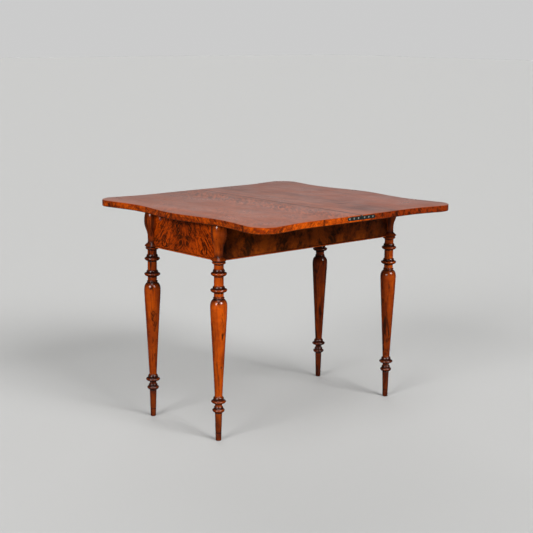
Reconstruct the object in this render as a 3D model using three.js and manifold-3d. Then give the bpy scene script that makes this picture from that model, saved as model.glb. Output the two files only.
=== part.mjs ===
// Swivel-top games table, standing open: two equal serpentine leaves on double-pin edge hinges,
// over a framed stand with four turned legs. The top turns a quarter turn on a stud in the stand,
// and the upper leaf then folds over onto the lower one.
// Millimetres, +Z up, +X along the long side of the stand, -Y to the front. The origin is on the
// floor, under the middle of the stand.

import * as THREE from 'three';
import { mergeVertices } from 'three/addons/utils/BufferGeometryUtils.js';
import Module from 'manifold-3d';

const wasm = await Module();
wasm.setup();

// Overall sizes
const tableHeight = 740;
const overhangX = 40;        // corners of the closed top beyond the leg axes, at each side
const overhangY = 49.5;      // closed top beyond the leg axes, at the front and the back

// Clearances
const seatGap = 0.3;         // between faces that are glued, screwed or laid together
const turnGap = 0.1;         // around a pin or stud that turns, on the radius
const swivelGap = 0.5;       // under the top, over the stand
const overrun = 2;           // how far a cutter passes the face that it opens

// The two leaves. X runs from the joint between them, Y from the middle of the leaf.
const leaf = {
  thickness: 22,
  arris: 2,                  // easing of the corners between faces and edges
  joint: 0.8,                // gap between the open leaves
  crown: 455,                // joint to the middle of the serpentine front
  endReach: 422,             // middle of the leaf to its end edge, at the joint
  hollow: 25.5,              // depth of the hollow on each side of the crown
  endHollow: 1.8,            // depth of the shallow hollow in the end edge
  cornerBack: 5,             // corners behind the crown
  cornerFlare: 18,           // corners beyond the end edge
  cornerRadius: 60,
};
const hollowShare = 0.524;   // place of a front hollow, of the reach of the end edge
const endHollowShare = 0.516;   // place of an end hollow, of the reach of the crown
const flareTurn = 0.15;      // radians by which the edges lean outwards into a corner
const handleShare = 0.36;    // length of a curve's handles, of its chord
const curveSteps = 5;        // facets along one stretch of a leaf's outline
const arrisSteps = 1;

// Stand
const apron = {
  thickness: 22,
  proud: 2,                  // outer face beyond the plane of the leg axes
  height: 119.5,
};
const tenon = {
  thickness: 9,
  face: 3,                   // inboard of the plane of the leg axes
  shoulder: 30,              // leg axis to where the tenon has grown out of the apron
  lowInset: 36,              // above the bottom of the apron
  highInset: 20,             // below the top of the stand
};
const rail = {
  height: 24,
  tenonInset: 8,             // from each side of the rail to its tenon
  tenonHeight: 12,
  tenonLength: 8,
};
const railShare = 0.565;     // half the rail's width, of the room between the pivot and the apron
const well = {
  board: 10,                 // thickness of the divider
  washerRoom: 2,             // from the pivot's washer to the divider
  floor: 8,                  // thickness of the floor board
  ledgeLift: 4,              // underside of a ledge above the bottom of the aprons
  ledgeHeight: 12,
  ledgeWidth: 14,
};

// Turned leg. The two low rings are placed up from the floor, the rest down from the top of the
// stand. A ring has an underside that drops from its widest edge to its seat radius, and a slope
// that rises from that edge to a small rounded cap.
const legSides = 16;
const foot = { radius: 9.3, ankle: 11.8, ease: 1.2 };
const groove = { depth: 1.5, height: 2 };
const ankleRing = { up: 104.6, radius: 20.3, drop: 9, seat: 12.6, slope: 6.5, cap: 15.2, rise: 7 };
const calfRing = { up: 134, radius: 24.5, drop: 7.5, seat: 15, slope: 6, cap: 17.6, rise: 11 };
const waistRadius = 11.7;    // between the two low rings
const taper = { lowRadius: 12.6, topRadius: 28.1, down: 268.5 };
const shoulder = { radius: 19.5, down: 243.5 };
const bead = { radius: 19.2, seat: 17.4, down: 235, height: 6 };
const neckRadius = 15.8;     // between the rings above the bead
const thirdRing = { down: 212, radius: 27.4, drop: 8.8, seat: 18, slope: 5.5, cap: 20, rise: 8 };
const secondRing = { down: 158.5, radius: 26.3, drop: 8.5, seat: 18, slope: 6, cap: 19.6, rise: 9 };
const topRing = { down: 114.5, radius: 26, drop: 5, seat: 21.6, slope: 11 };
const collar = { radius: 22.4, down: 120.5, height: 7 };
const baluster = { neck: 14.8, neckDown: 85.5, swell: 26.3, swellDown: 27.5, topRadius: 22.4 };

// Shares that shape the turned curves: how far out and how far up a curve's control point lies
const undersideShares = [0.9, 0.3];
const capShares = [0, 0.75];
const outFirstShares = [1, 0];
const taperShares = [[0.645, 0.671], [1, 0.933]];
const bendSteps = 2;
const taperSteps = 4;
const balusterSteps = 3;

// Pivot of the top
const pivot = {
  plateRadius: 30,
  plateThickness: 3,
  studRadius: 6,
  studTail: 3,               // stud below the nut
  washerRadius: 13,
  washerThickness: 2.5,
  nutRadius: 11,             // across the corners, halved
  nutThickness: 10,
  screwCircle: 20,
};
const pivotSides = 16;
const nutSides = 6;
const plateScrews = 4;

// Stop under the lower leaf: it meets the back apron when the top is open, and the rail when closed
const stop = { length: 44, height: 16, screwSpacing: 24 };
const stopShare = 0.714;     // pivot to the middle of the stop, of the free room round the pivot

// Edge hinge: two straps, a link and two pins at each end of the joint
const hinge = {
  pinDepth: 2.5,             // pin axis below the top surface
  pinSpan: 5.8,              // between the pin axes of one hinge
  pinRadius: 1,
  eyeRadius: 2.1,
  linkThickness: 1.5,
  strapThickness: 3.4,
  strapLength: 64,
  endMargin: 6,              // straight end edge beyond the strap
  strapHeight: 12,
  strapDepth: 3.3,           // top of the strap below the top surface
  layerGap: 0.2,             // between the link and the eyes
};
const roundSteps = 4;
const pinSides = 12;
const strapScrewShares = [0.22, 0.53, 0.84];   // places of the screws along the strap

// Countersunk screws
const strapScrew = { head: 3.1, neck: 1.6, rim: 0.4, cone: 2.2, length: 16, slot: 0.8 };
const plateScrew = { head: 3.4, neck: 1.8, rim: 0.3, cone: 2.2, length: 16, slot: 0.9 };
const stopScrew = { head: 3.6, neck: 1.9, rim: 0.3, cone: 2.4, length: 28, slot: 0.9 };
const screwSides = 6;

// Heights and places that follow from the sizes above
const quarter = Math.PI / 2;
const leafUnder = tableHeight - leaf.thickness;
const standTop = leafUnder - swivelGap;
const apronBottom = standTop - apron.height;
const legSpanX = 2 * (leaf.endReach + leaf.cornerFlare - overhangX);
const legSpanY = leaf.crown - 2 * overhangY;
const innerX = legSpanX / 2 + apron.proud - apron.thickness;
const innerY = legSpanY / 2 + apron.proud - apron.thickness;
const leafCentre = (leaf.crown + leaf.joint / 2) / 2;
const pivotX = -leafCentre / 2;
const pivotY = leafCentre / 2;
const railHalf = (innerY - pivotY) * railShare;
const stopReach = Math.min(innerX + pivotX, innerY + pivotY) * stopShare;
const pinHeight = tableHeight - hinge.pinDepth;

// Finishes
function finish(colour, roughness, metalness) {
  return () => new THREE.MeshStandardMaterial({ color: colour, roughness, metalness });
}
const legWood = finish(0xa84a0c, 0.3, 0);
const apronWood = finish(0xa5500f, 0.32, 0);
const leafWood = finish(0xb06a3c, 0.28, 0);
const plainWood = finish(0x9a6a3d, 0.7, 0);
const steel = finish(0x8f8c86, 0.4, 0.9);
const screwSteel = finish(0xb5b1a8, 0.4, 0.9);

// Closed solid from a geometry: shared corners are merged and faces without area are left out
function solid(geometry) {
  const bare = geometry.clone();
  bare.deleteAttribute('normal');
  bare.deleteAttribute('uv');
  const merged = mergeVertices(bare);
  const index = merged.index.array;
  const faces = [];
  for (let i = 0; i < index.length; i += 3) {
    const [a, b, c] = [index[i], index[i + 1], index[i + 2]];
    if (a !== b && b !== c && c !== a) {
      faces.push(a, b, c);
    }
  }
  const vertProperties = new Float32Array(merged.attributes.position.array);
  const triVerts = new Uint32Array(faces);
  return new wasm.Manifold(new wasm.Mesh({ numProp: 3, vertProperties, triVerts }));
}

function cut(body, ...tools) {
  return tools.reduce((left, tool) => left.subtract(solid(tool)), body);
}

function join(body, ...others) {
  return others.reduce((whole, other) => whole.add(solid(other)), body);
}

function piece(name, body, material) {
  const { vertProperties, triVerts } = body.getMesh();
  const geometry = new THREE.BufferGeometry();
  geometry.setAttribute('position', new THREE.BufferAttribute(vertProperties, 3));
  geometry.setIndex(new THREE.BufferAttribute(triVerts, 1));
  geometry.computeVertexNormals();
  const mesh = new THREE.Mesh(geometry, material());
  mesh.name = name;
  return mesh;
}

function block(low, high) {
  const size = high.map((value, i) => value - low[i]);
  const centre = high.map((value, i) => (value + low[i]) / 2);
  return new THREE.BoxGeometry(...size).translate(...centre);
}

// Upright cylinder between two heights
function post(radius, low, high, sides, x, y) {
  const cylinder = new THREE.CylinderGeometry(radius, radius, high - low, sides);
  return cylinder.rotateX(quarter).translate(x, y, (low + high) / 2);
}

// Radius of a faceted bore whose flats clear a round shaft by a gap
function boreRadius(radius, gap, sides) {
  return (radius + gap) / Math.cos(Math.PI / sides);
}

// Slab with a plan outline, between two heights
function planSlab(points, low, high) {
  const shape = new THREE.Shape(points);
  const slab = new THREE.ExtrudeGeometry(shape, { depth: high - low, bevelEnabled: false });
  return slab.translate(0, 0, low);
}

// Slab with an outline in the upright XZ plane, between two places in Y
function uprightSlab(shape, low, high) {
  const options = { depth: high - low, bevelEnabled: false, curveSegments: roundSteps };
  return new THREE.ExtrudeGeometry(shape, options).rotateX(quarter).translate(0, high, 0);
}

// Turned profile, drawn upwards as radius and height
class Profile {
  constructor() {
    this.points = [new THREE.Vector2(0, 0)];
  }

  get last() {
    return this.points[this.points.length - 1];
  }

  line(radius, height) {
    this.points.push(new THREE.Vector2(radius, height));
    return this;
  }

  curve(curve, steps) {
    this.points.push(...curve.getPoints(steps).slice(1));
    return this;
  }

  // Curve whose control point lies at shares of the way out and of the way up
  bend(radius, height, [outShare, upShare], steps = bendSteps) {
    const start = this.last;
    const end = new THREE.Vector2(radius, height);
    const control = new THREE.Vector2(
      THREE.MathUtils.lerp(start.x, end.x, outShare),
      THREE.MathUtils.lerp(start.y, end.y, upShare),
    );
    return this.curve(new THREE.QuadraticBezierCurve(start, control, end), steps);
  }

  // Ring over a fine groove: underside, sharp widest edge, slope and rounded cap
  ring(ring, edge, neckBelow, neckAbove) {
    const low = edge - ring.drop;
    const ledge = edge + ring.slope;
    this.line(neckBelow, low - groove.height);
    this.line(neckBelow - groove.depth, low);
    this.line(ring.seat, low);
    this.bend(ring.radius, edge, undersideShares);
    this.line(ring.cap - groove.depth, ledge);
    this.line(ring.cap, ledge);
    return this.bend(neckAbove, ledge + ring.rise, capShares);
  }
}

function legProfile() {
  const profile = new Profile();
  profile.line(foot.radius - foot.ease, 0);
  profile.line(foot.radius, foot.ease);
  profile.ring(ankleRing, ankleRing.up, foot.ankle, waistRadius);
  profile.ring(calfRing, calfRing.up, waistRadius, taper.lowRadius);
  const start = profile.last;
  const end = new THREE.Vector2(taper.topRadius, standTop - taper.down);
  const handles = taperShares.map(([outShare, upShare]) => new THREE.Vector2(
    THREE.MathUtils.lerp(start.x, end.x, outShare),
    THREE.MathUtils.lerp(start.y, end.y, upShare),
  ));
  profile.curve(new THREE.CubicBezierCurve(start, ...handles, end), taperSteps);
  profile.bend(shoulder.radius, standTop - shoulder.down, capShares, balusterSteps);
  profile.line(bead.seat, standTop - bead.down - bead.height);
  profile.line(bead.radius, standTop - bead.down - bead.height / 2);
  profile.line(neckRadius, standTop - bead.down);
  profile.ring(thirdRing, standTop - thirdRing.down, neckRadius, neckRadius);
  profile.ring(secondRing, standTop - secondRing.down, neckRadius, neckRadius);
  const collarLow = standTop - collar.down - collar.height;
  profile.line(neckRadius, collarLow - groove.height);
  profile.line(neckRadius - groove.depth, collarLow);
  profile.bend(collar.radius, standTop - collar.down - groove.height, outFirstShares);
  const topEdge = standTop - topRing.down;
  profile.line(topRing.seat - groove.depth, topEdge - topRing.drop);
  profile.line(topRing.radius, topEdge);
  profile.line(baluster.neck, topEdge + topRing.slope);
  const neckTop = standTop - baluster.neckDown;
  const swellTop = standTop - baluster.swellDown;
  const swell = new THREE.SplineCurve([
    profile.last,
    new THREE.Vector2(baluster.neck, neckTop),
    new THREE.Vector2((baluster.neck + baluster.swell) / 2, (neckTop + swellTop) / 2),
    new THREE.Vector2(baluster.swell, swellTop),
    new THREE.Vector2(baluster.topRadius, standTop),
  ]);
  profile.curve(swell, 2 * balusterSteps);
  return profile.line(0, standTop).points;
}

// The same profile with every point moved outwards by a gap, square to its two neighbours
function grownProfile(points, gap) {
  return points.map((point, i) => {
    const before = points[Math.max(i - 1, 0)];
    const after = points[Math.min(i + 1, points.length - 1)];
    const along = after.clone().sub(before).normalize();
    const moved = new THREE.Vector2(point.x + along.y * gap, point.y - along.x * gap);
    moved.x = point.x === 0 ? 0 : Math.max(moved.x, 0);
    return moved;
  });
}

function turned(points) {
  return new THREE.LatheGeometry(points, legSides).rotateX(quarter);
}

const tenonLow = apronBottom + tenon.lowInset;
const tenonHigh = standTop - tenon.highInset;

// Leg with its aprons towards +X and +Y: two mortises that meet on the diagonal
function makeLeg() {
  const near = tenon.face - seatGap;
  const far = tenon.face + tenon.thickness + seatGap;
  const out = baluster.swell + overrun;
  const low = tenonLow - seatGap;
  const high = tenonHigh + seatGap;
  return cut(
    solid(turned(legProfile())),
    block([near, near, low], [out, far, high]),
    block([near, near, low], [far, out, high]),
  );
}

// Apron along X between leg axes at -half and +half, outer face towards -Y. Its ends are scribed
// to the turned legs, mitred behind them, and tenoned into them.
function makeApron(half) {
  const outer = -apron.proud;
  const inner = apron.thickness - apron.proud;
  const scribe = grownProfile(legProfile(), seatGap / Math.cos(Math.PI / legSides));
  const mitre = seatGap / Math.SQRT2;
  let body = solid(block([-half, outer, apronBottom], [half, inner, standTop]));
  for (const side of [-1, 1]) {
    body = cut(body, turned(scribe).translate(side * half, 0, 0));
    const tip = side * (half - tenon.face);
    const root = side * (half - tenon.shoulder);
    const low = [Math.min(tip, root), tenon.face, tenonLow];
    const high = [Math.max(tip, root), tenon.face + tenon.thickness, tenonHigh];
    body = join(body, block(low, high));
  }
  for (const side of [-1, 1]) {
    const plan = [
      [half + overrun - outer, outer - overrun],
      [half - mitre - outer + overrun, outer - overrun],
      [half - mitre - inner - overrun, inner + overrun],
      [half + overrun - outer, inner + overrun],
    ].map(([x, y]) => new THREE.Vector2(side * x, y));
    body = cut(body, planSlab(plan, apronBottom - overrun, standTop + overrun));
  }
  return body;
}

// Long apron: the same, with a mortise for the pivot rail at a place along it
function makeLongApron(railPlace) {
  const inner = apron.thickness - apron.proud;
  const halfWidth = railHalf - rail.tenonInset + seatGap;
  const centre = standTop - rail.height / 2;
  const halfHeight = rail.tenonHeight / 2 + seatGap;
  const depth = rail.tenonLength + seatGap;
  return cut(makeApron(legSpanX / 2), block(
    [railPlace - halfWidth, inner - depth, centre - halfHeight],
    [railPlace + halfWidth, inner + overrun, centre + halfHeight],
  ));
}

function makeRail() {
  const reach = innerY - seatGap;
  const tip = innerY + rail.tenonLength - seatGap;
  const centre = standTop - rail.height / 2;
  const tenonHalf = railHalf - rail.tenonInset;
  const body = join(
    solid(block([pivotX - railHalf, -reach, standTop - rail.height], [pivotX + railHalf, reach, standTop])),
    block(
      [pivotX - tenonHalf, -tip, centre - rail.tenonHeight / 2],
      [pivotX + tenonHalf, tip, centre + rail.tenonHeight / 2],
    ),
  );
  const low = standTop - rail.height - overrun;
  const high = standTop + overrun;
  const bore = boreRadius(pivot.studRadius, turnGap, pivotSides);
  return cut(body, post(bore, low, high, pivotSides, pivotX, pivotY));
}

// Card well between the rail and the right apron
function wellPieces() {
  const left = pivotX + pivot.washerRadius + well.washerRoom;
  const right = innerX - seatGap;
  const reach = innerY - seatGap;
  const ledgeLow = apronBottom + well.ledgeLift;
  const ledgeHigh = ledgeLow + well.ledgeHeight;
  const floorLow = ledgeHigh + seatGap;
  const floorHigh = floorLow + well.floor;
  const ledgeIn = reach - well.ledgeWidth;
  const boards = {
    well_divider: [
      [left, -reach, floorHigh + seatGap],
      [left + well.board, reach, standTop - rail.height - seatGap],
    ],
    well_floor: [[left, -reach, floorLow], [right, reach, floorHigh]],
    well_ledge_front: [[left, -reach, ledgeLow], [right, -ledgeIn, ledgeHigh]],
    well_ledge_back: [[left, ledgeIn, ledgeLow], [right, reach, ledgeHigh]],
    well_ledge_side: [
      [right - well.ledgeWidth, seatGap - ledgeIn, ledgeLow],
      [right, ledgeIn - seatGap, ledgeHigh],
    ],
  };
  return Object.entries(boards).map(([name, corners]) => piece(name, solid(block(...corners)), plainWood));
}

// Screw along +Y with the top of its head at the origin; grown by a gap it is its own hole
function screwBlank(screw, gap) {
  const head = screw.head + gap;
  const neck = screw.neck + gap;
  const top = gap > 0 ? -overrun : 0;
  return new THREE.LatheGeometry([
    new THREE.Vector2(0, top),
    new THREE.Vector2(head, top),
    new THREE.Vector2(head, screw.rim),
    new THREE.Vector2(neck, screw.cone + gap),
    new THREE.Vector2(neck, screw.length - screw.neck),
    new THREE.Vector2(0, screw.length + gap),
  ], screwSides);
}

function makeScrew(screw) {
  const half = screw.slot / 2;
  const length = screw.head + overrun;
  return cut(solid(screwBlank(screw, 0)), block([-length, -overrun, -half], [length, screw.slot, half]));
}

// Outline of one leaf, from the crown round its far corner to the joint, then mirrored
function leafOutline() {
  const { cornerRadius: radius } = leaf;
  const cornerX = leaf.crown - leaf.cornerBack - radius;
  const cornerY = leaf.endReach + leaf.cornerFlare - radius;
  const half = new THREE.Path();
  const sweepTo = (x, y, leaving, arriving) => {
    const start = half.currentPoint.clone();
    const end = new THREE.Vector2(x, y);
    const handle = start.distanceTo(end) * handleShare;
    const first = new THREE.Vector2(handle, 0).rotateAround(new THREE.Vector2(), leaving).add(start);
    const second = new THREE.Vector2(-handle, 0).rotateAround(new THREE.Vector2(), arriving).add(end);
    half.bezierCurveTo(first.x, first.y, second.x, second.y, end.x, end.y);
  };
  const arcX = cornerX + radius * Math.cos(flareTurn);
  const arcY = cornerY - radius * Math.sin(flareTurn);
  half.moveTo(leaf.crown, 0);
  sweepTo(leaf.crown - leaf.hollow, leaf.endReach * hollowShare, quarter, quarter);
  sweepTo(arcX, arcY, quarter, quarter - flareTurn);
  half.absarc(cornerX, cornerY, radius, -flareTurn, quarter + flareTurn, false);
  sweepTo(leaf.crown * endHollowShare, leaf.endReach - leaf.endHollow, Math.PI + flareTurn, Math.PI);
  sweepTo(hinge.strapLength + hinge.endMargin, leaf.endReach, Math.PI, Math.PI);
  half.lineTo(leaf.joint / 2, leaf.endReach);
  const far = half.getPoints(curveSteps);
  const near = far.slice(1).reverse().map((point) => new THREE.Vector2(point.x, -point.y));
  return [...near, ...far];
}

// Places of the straps, links and pins. Side is +1 for the upper leaf and -1 for the lower one;
// end is -1 at the front and +1 at the back. Depth is measured inwards from the end edge.
const linkZone = hinge.pinSpan / 2 + hinge.eyeRadius + seatGap;
const linkFloor = -hinge.pinDepth - hinge.eyeRadius - seatGap;

function layer(end, from, to) {
  const outer = end * (leaf.endReach - from);
  const inner = end * (leaf.endReach - to);
  return [Math.min(outer, inner), Math.max(outer, inner)];
}

function sided(points, side) {
  return new THREE.Shape(points.map((point) => new THREE.Vector2(side * point.x, tableHeight + point.y)));
}

// Strap outline from a place near the joint to its round end; grown by a gap it is its recess
function strapOutline(edge, grow) {
  const high = grow - hinge.strapDepth;
  const low = -hinge.strapDepth - hinge.strapHeight - grow;
  const centre = hinge.strapLength - hinge.strapHeight / 2;
  const outline = new THREE.Path();
  outline.moveTo(edge, low);
  outline.lineTo(edge, high);
  outline.lineTo(centre, high);
  outline.absarc(centre, (high + low) / 2, (high - low) / 2, quarter, -quarter, true);
  return outline.getPoints(roundSteps);
}

// Corner beside the joint, from a floor up past the top surface
function jointCorner(side, [low, high], out, floor) {
  const inside = side * (leaf.joint / 2 - overrun);
  const outside = side * out;
  return block(
    [Math.min(inside, outside), low, tableHeight + floor],
    [Math.max(inside, outside), high, tableHeight + overrun],
  );
}

function eyeOutline() {
  const centre = hinge.pinSpan / 2;
  const web = linkFloor - hinge.eyeRadius;
  const outline = new THREE.Path();
  outline.moveTo(centre - hinge.eyeRadius, web);
  outline.lineTo(centre + hinge.eyeRadius, web);
  outline.absarc(centre, -hinge.pinDepth, hinge.eyeRadius, 0, Math.PI, false);
  return outline.getPoints(roundSteps);
}

function pinRod(side, end, radius, extra) {
  const [low, high] = layer(end, 0, hinge.strapThickness);
  const rod = new THREE.CylinderGeometry(radius, radius, high - low + extra, pinSides);
  return rod.translate(side * hinge.pinSpan / 2, (low + high) / 2, pinHeight);
}

function pinBore(side, end) {
  return pinRod(side, end, boreRadius(hinge.pinRadius, turnGap, pinSides), 2 * overrun);
}

function strapScrewAt(side, end, share, blank) {
  const height = tableHeight - hinge.strapDepth - hinge.strapHeight / 2;
  const placed = end < 0 ? blank.clone() : blank.clone().rotateZ(Math.PI);
  return placed.translate(side * hinge.strapLength * share, end * leaf.endReach, height);
}

function makeStrap(side, end) {
  const full = layer(end, 0, hinge.strapThickness);
  const plate = uprightSlab(sided(strapOutline(leaf.joint / 2, 0), side), ...full);
  const linkRoom = jointCorner(side, layer(end, -overrun, hinge.strapThickness + overrun), linkZone, linkFloor);
  const eyeFrom = hinge.linkThickness + hinge.layerGap;
  const eye = uprightSlab(sided(eyeOutline(), side), ...layer(end, eyeFrom, hinge.strapThickness));
  const hole = screwBlank(strapScrew, seatGap);
  const holes = strapScrewShares.map((share) => strapScrewAt(side, end, share, hole));
  return cut(join(cut(solid(plate), linkRoom), eye), pinBore(side, end), ...holes);
}

function makeLink(end) {
  const reach = hinge.pinSpan / 2;
  const outline = new THREE.Path();
  outline.moveTo(-reach, -hinge.pinDepth - hinge.eyeRadius);
  outline.absarc(reach, -hinge.pinDepth, hinge.eyeRadius, -quarter, quarter, false);
  outline.absarc(-reach, -hinge.pinDepth, hinge.eyeRadius, quarter, 3 * quarter, false);
  const points = outline.getPoints(roundSteps);
  points.pop();
  const link = uprightSlab(sided(points, 1), ...layer(end, 0, hinge.linkThickness));
  return cut(solid(link), pinBore(-1, end), pinBore(1, end));
}

// Recess in a leaf for one strap: the strap's outline, and an open notch for the link and the eye
function strapRecess(side, end) {
  const depth = layer(end, -overrun, hinge.strapThickness + seatGap);
  const outline = strapOutline(leaf.joint / 2 - overrun, seatGap);
  return [
    uprightSlab(sided(outline, side), ...depth),
    jointCorner(side, depth, linkZone + seatGap, -hinge.strapDepth - seatGap),
  ];
}

function makeLeaf(side) {
  const slab = new THREE.ExtrudeGeometry(new THREE.Shape(leafOutline()), {
    depth: leaf.thickness - 2 * leaf.arris,
    bevelThickness: leaf.arris,
    bevelSize: leaf.arris,
    bevelOffset: -leaf.arris,
    bevelSegments: arrisSteps,
  });
  slab.translate(0, 0, leafUnder + leaf.arris);
  let body = solid(side < 0 ? slab.rotateZ(Math.PI) : slab);
  const hole = screwBlank(strapScrew, seatGap);
  for (const end of [-1, 1]) {
    const holes = strapScrewShares.map((share) => strapScrewAt(side, end, share, hole));
    body = cut(body, ...strapRecess(side, end), ...holes);
  }
  return body;
}

// Screw that points up, its head level with a height
function upScrew(blank, x, y, height) {
  return blank.clone().rotateX(quarter).translate(x, y, height);
}

function plateScrewPlaces() {
  return Array.from({ length: plateScrews }, (_, i) => {
    const turn = (i + 1 / 2) * 2 * Math.PI / plateScrews;
    const radius = pivot.screwCircle;
    return [pivotX + radius * Math.cos(turn), pivotY + radius * Math.sin(turn)];
  });
}

const stopHigh = innerY - seatGap;
const stopLow = pivotY + railHalf + seatGap;
const stopUnder = leafUnder - seatGap - stop.height;

function stopScrewPlaces() {
  const centre = pivotX - stopReach;
  const y = (stopHigh + stopLow) / 2;
  return [[centre - stop.screwSpacing / 2, y], [centre + stop.screwSpacing / 2, y]];
}

function makeLowerLeaf() {
  const recess = post(
    pivot.plateRadius + seatGap, leafUnder - overrun, leafUnder + pivot.plateThickness + seatGap,
    pivotSides, pivotX, pivotY,
  );
  const plateHole = screwBlank(plateScrew, seatGap);
  const stopHole = screwBlank(stopScrew, seatGap);
  return cut(
    makeLeaf(-1),
    recess,
    ...plateScrewPlaces().map(([x, y]) => upScrew(plateHole, x, y, leafUnder)),
    ...stopScrewPlaces().map(([x, y]) => upScrew(stopHole, x, y, stopUnder)),
  );
}

function makePivotPlate() {
  const top = leafUnder + pivot.plateThickness;
  const end = nutLow() - pivot.studTail;
  const hole = screwBlank(plateScrew, seatGap);
  return cut(
    join(
      solid(post(pivot.plateRadius, leafUnder, top, pivotSides, pivotX, pivotY)),
      post(pivot.studRadius, end, leafUnder + pivot.plateThickness / 2, pivotSides, pivotX, pivotY),
    ),
    ...plateScrewPlaces().map(([x, y]) => upScrew(hole, x, y, leafUnder)),
  );
}

function nutLow() {
  return standTop - rail.height - 2 * seatGap - pivot.washerThickness - pivot.nutThickness;
}

// Washer or nut around the stud
function studRing(radius, sides, low, high) {
  const bore = boreRadius(pivot.studRadius, seatGap, pivotSides);
  return cut(
    solid(post(radius, low, high, sides, pivotX, pivotY)),
    post(bore, low - overrun, high + overrun, pivotSides, pivotX, pivotY),
  );
}

function makeStop() {
  const centre = pivotX - stopReach;
  const hole = screwBlank(stopScrew, seatGap);
  return cut(
    solid(block(
      [centre - stop.length / 2, stopLow, stopUnder],
      [centre + stop.length / 2, stopHigh, leafUnder - seatGap],
    )),
    ...stopScrewPlaces().map(([x, y]) => upScrew(hole, x, y, stopUnder)),
  );
}

function screwPieces(prefix, screw, places, height) {
  const body = makeScrew(screw);
  return places.map(([x, y], i) => {
    const mesh = piece(`${prefix}_${i + 1}`, body, screwSteel);
    mesh.rotation.x = quarter;
    mesh.position.set(x, y, height);
    return mesh;
  });
}

function group(name, ...members) {
  const whole = new THREE.Group();
  whole.name = name;
  whole.add(...members.flat());
  return whole;
}

function standPieces() {
  const corners = [
    ['leg_front_left', -1, -1],
    ['leg_front_right', 1, -1],
    ['leg_back_right', 1, 1],
    ['leg_back_left', -1, 1],
  ];
  const legBody = makeLeg();
  const legs = corners.map(([name, x, y], i) => {
    const mesh = piece(name, legBody, legWood);
    mesh.rotation.z = i * quarter;
    mesh.position.set(x * legSpanX / 2, y * legSpanY / 2, 0);
    return mesh;
  });
  const sideBody = makeApron(legSpanY / 2);
  const sides = [
    ['apron_front', makeLongApron(pivotX), 0, -legSpanY / 2, 0],
    ['apron_right', sideBody, legSpanX / 2, 0, quarter],
    ['apron_back', makeLongApron(-pivotX), 0, legSpanY / 2, 2 * quarter],
    ['apron_left', sideBody, -legSpanX / 2, 0, 3 * quarter],
  ];
  const aprons = sides.map(([name, body, x, y, turn]) => {
    const mesh = piece(name, body, apronWood);
    mesh.rotation.z = turn;
    mesh.position.set(x, y, 0);
    return mesh;
  });
  const washerLow = nutLow() + pivot.nutThickness + seatGap;
  const washer = studRing(pivot.washerRadius, pivotSides, washerLow, washerLow + pivot.washerThickness);
  return [
    legs,
    aprons,
    piece('pivot_rail', makeRail(), plainWood),
    wellPieces(),
    piece('pivot_washer', washer, steel),
  ];
}

// Straps of one leaf, and their screws
function strapPieces(leafName, side) {
  const screw = makeScrew(strapScrew);
  return [[-1, 'front'], [1, 'back']].map(([end, endName]) => {
    const screws = strapScrewShares.map((share, i) => {
      const mesh = piece(`${leafName}_strap_screw_${endName}_${i + 1}`, screw, screwSteel);
      mesh.rotation.z = end < 0 ? 0 : Math.PI;
      const height = tableHeight - hinge.strapDepth - hinge.strapHeight / 2;
      mesh.position.set(side * hinge.strapLength * share, end * leaf.endReach, height);
      return mesh;
    });
    return [piece(`${leafName}_strap_${endName}`, makeStrap(side, end), steel), ...screws];
  }).flat();
}

function linkPieces() {
  return [[-1, 'front'], [1, 'back']].map(([end, endName]) => [
    piece(`hinge_link_${endName}`, makeLink(end), steel),
    piece(`hinge_pin_lower_${endName}`, solid(pinRod(-1, end, hinge.pinRadius, 0)), screwSteel),
    piece(`hinge_pin_upper_${endName}`, solid(pinRod(1, end, hinge.pinRadius, 0)), screwSteel),
  ]).flat();
}

function lowerLeafPieces() {
  const nut = studRing(pivot.nutRadius, nutSides, nutLow(), nutLow() + pivot.nutThickness);
  return [
    piece('lower_leaf', makeLowerLeaf(), leafWood),
    piece('pivot_plate', makePivotPlate(), steel),
    piece('pivot_nut', nut, steel),
    screwPieces('pivot_plate_screw', plateScrew, plateScrewPlaces(), leafUnder),
    piece('swivel_stop', makeStop(), plainWood),
    screwPieces('swivel_stop_screw', stopScrew, stopScrewPlaces(), stopUnder),
    strapPieces('lower', -1),
  ];
}

function upperLeafPieces() {
  return [piece('upper_leaf', makeLeaf(1), leafWood), strapPieces('upper', 1)];
}

const table = group(
  'games_table',
  group('stand_assembly', ...standPieces()),
  group('lower_leaf_assembly', ...lowerLeafPieces()),
  group('hinge_link_assembly', ...linkPieces()),
  group('upper_leaf_assembly', ...upperLeafPieces()),
);

export default table;
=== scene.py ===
import math

import bmesh
import bpy
import mathutils
from mathutils import Euler, Matrix, Vector


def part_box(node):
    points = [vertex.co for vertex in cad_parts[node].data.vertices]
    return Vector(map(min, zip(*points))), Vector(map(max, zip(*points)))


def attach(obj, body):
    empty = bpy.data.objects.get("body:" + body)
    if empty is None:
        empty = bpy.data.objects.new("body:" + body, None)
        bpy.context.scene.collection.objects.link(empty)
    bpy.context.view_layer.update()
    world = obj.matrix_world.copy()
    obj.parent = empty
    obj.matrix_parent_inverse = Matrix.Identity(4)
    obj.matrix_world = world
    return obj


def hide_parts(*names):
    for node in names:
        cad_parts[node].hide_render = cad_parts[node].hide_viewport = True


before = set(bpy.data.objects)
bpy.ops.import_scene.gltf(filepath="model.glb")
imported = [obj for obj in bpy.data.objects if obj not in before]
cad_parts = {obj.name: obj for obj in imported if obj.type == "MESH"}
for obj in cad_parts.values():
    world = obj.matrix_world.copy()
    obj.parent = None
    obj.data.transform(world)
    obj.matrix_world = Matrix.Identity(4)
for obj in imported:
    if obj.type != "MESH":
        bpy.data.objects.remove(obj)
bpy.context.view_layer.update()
print("frame loaded:", len(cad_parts), "nodes")

mm = 0.001
ends = {"front": -1, "back": 1}
legNames = ["leg_front_left", "leg_front_right", "leg_back_right", "leg_back_left"]


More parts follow.
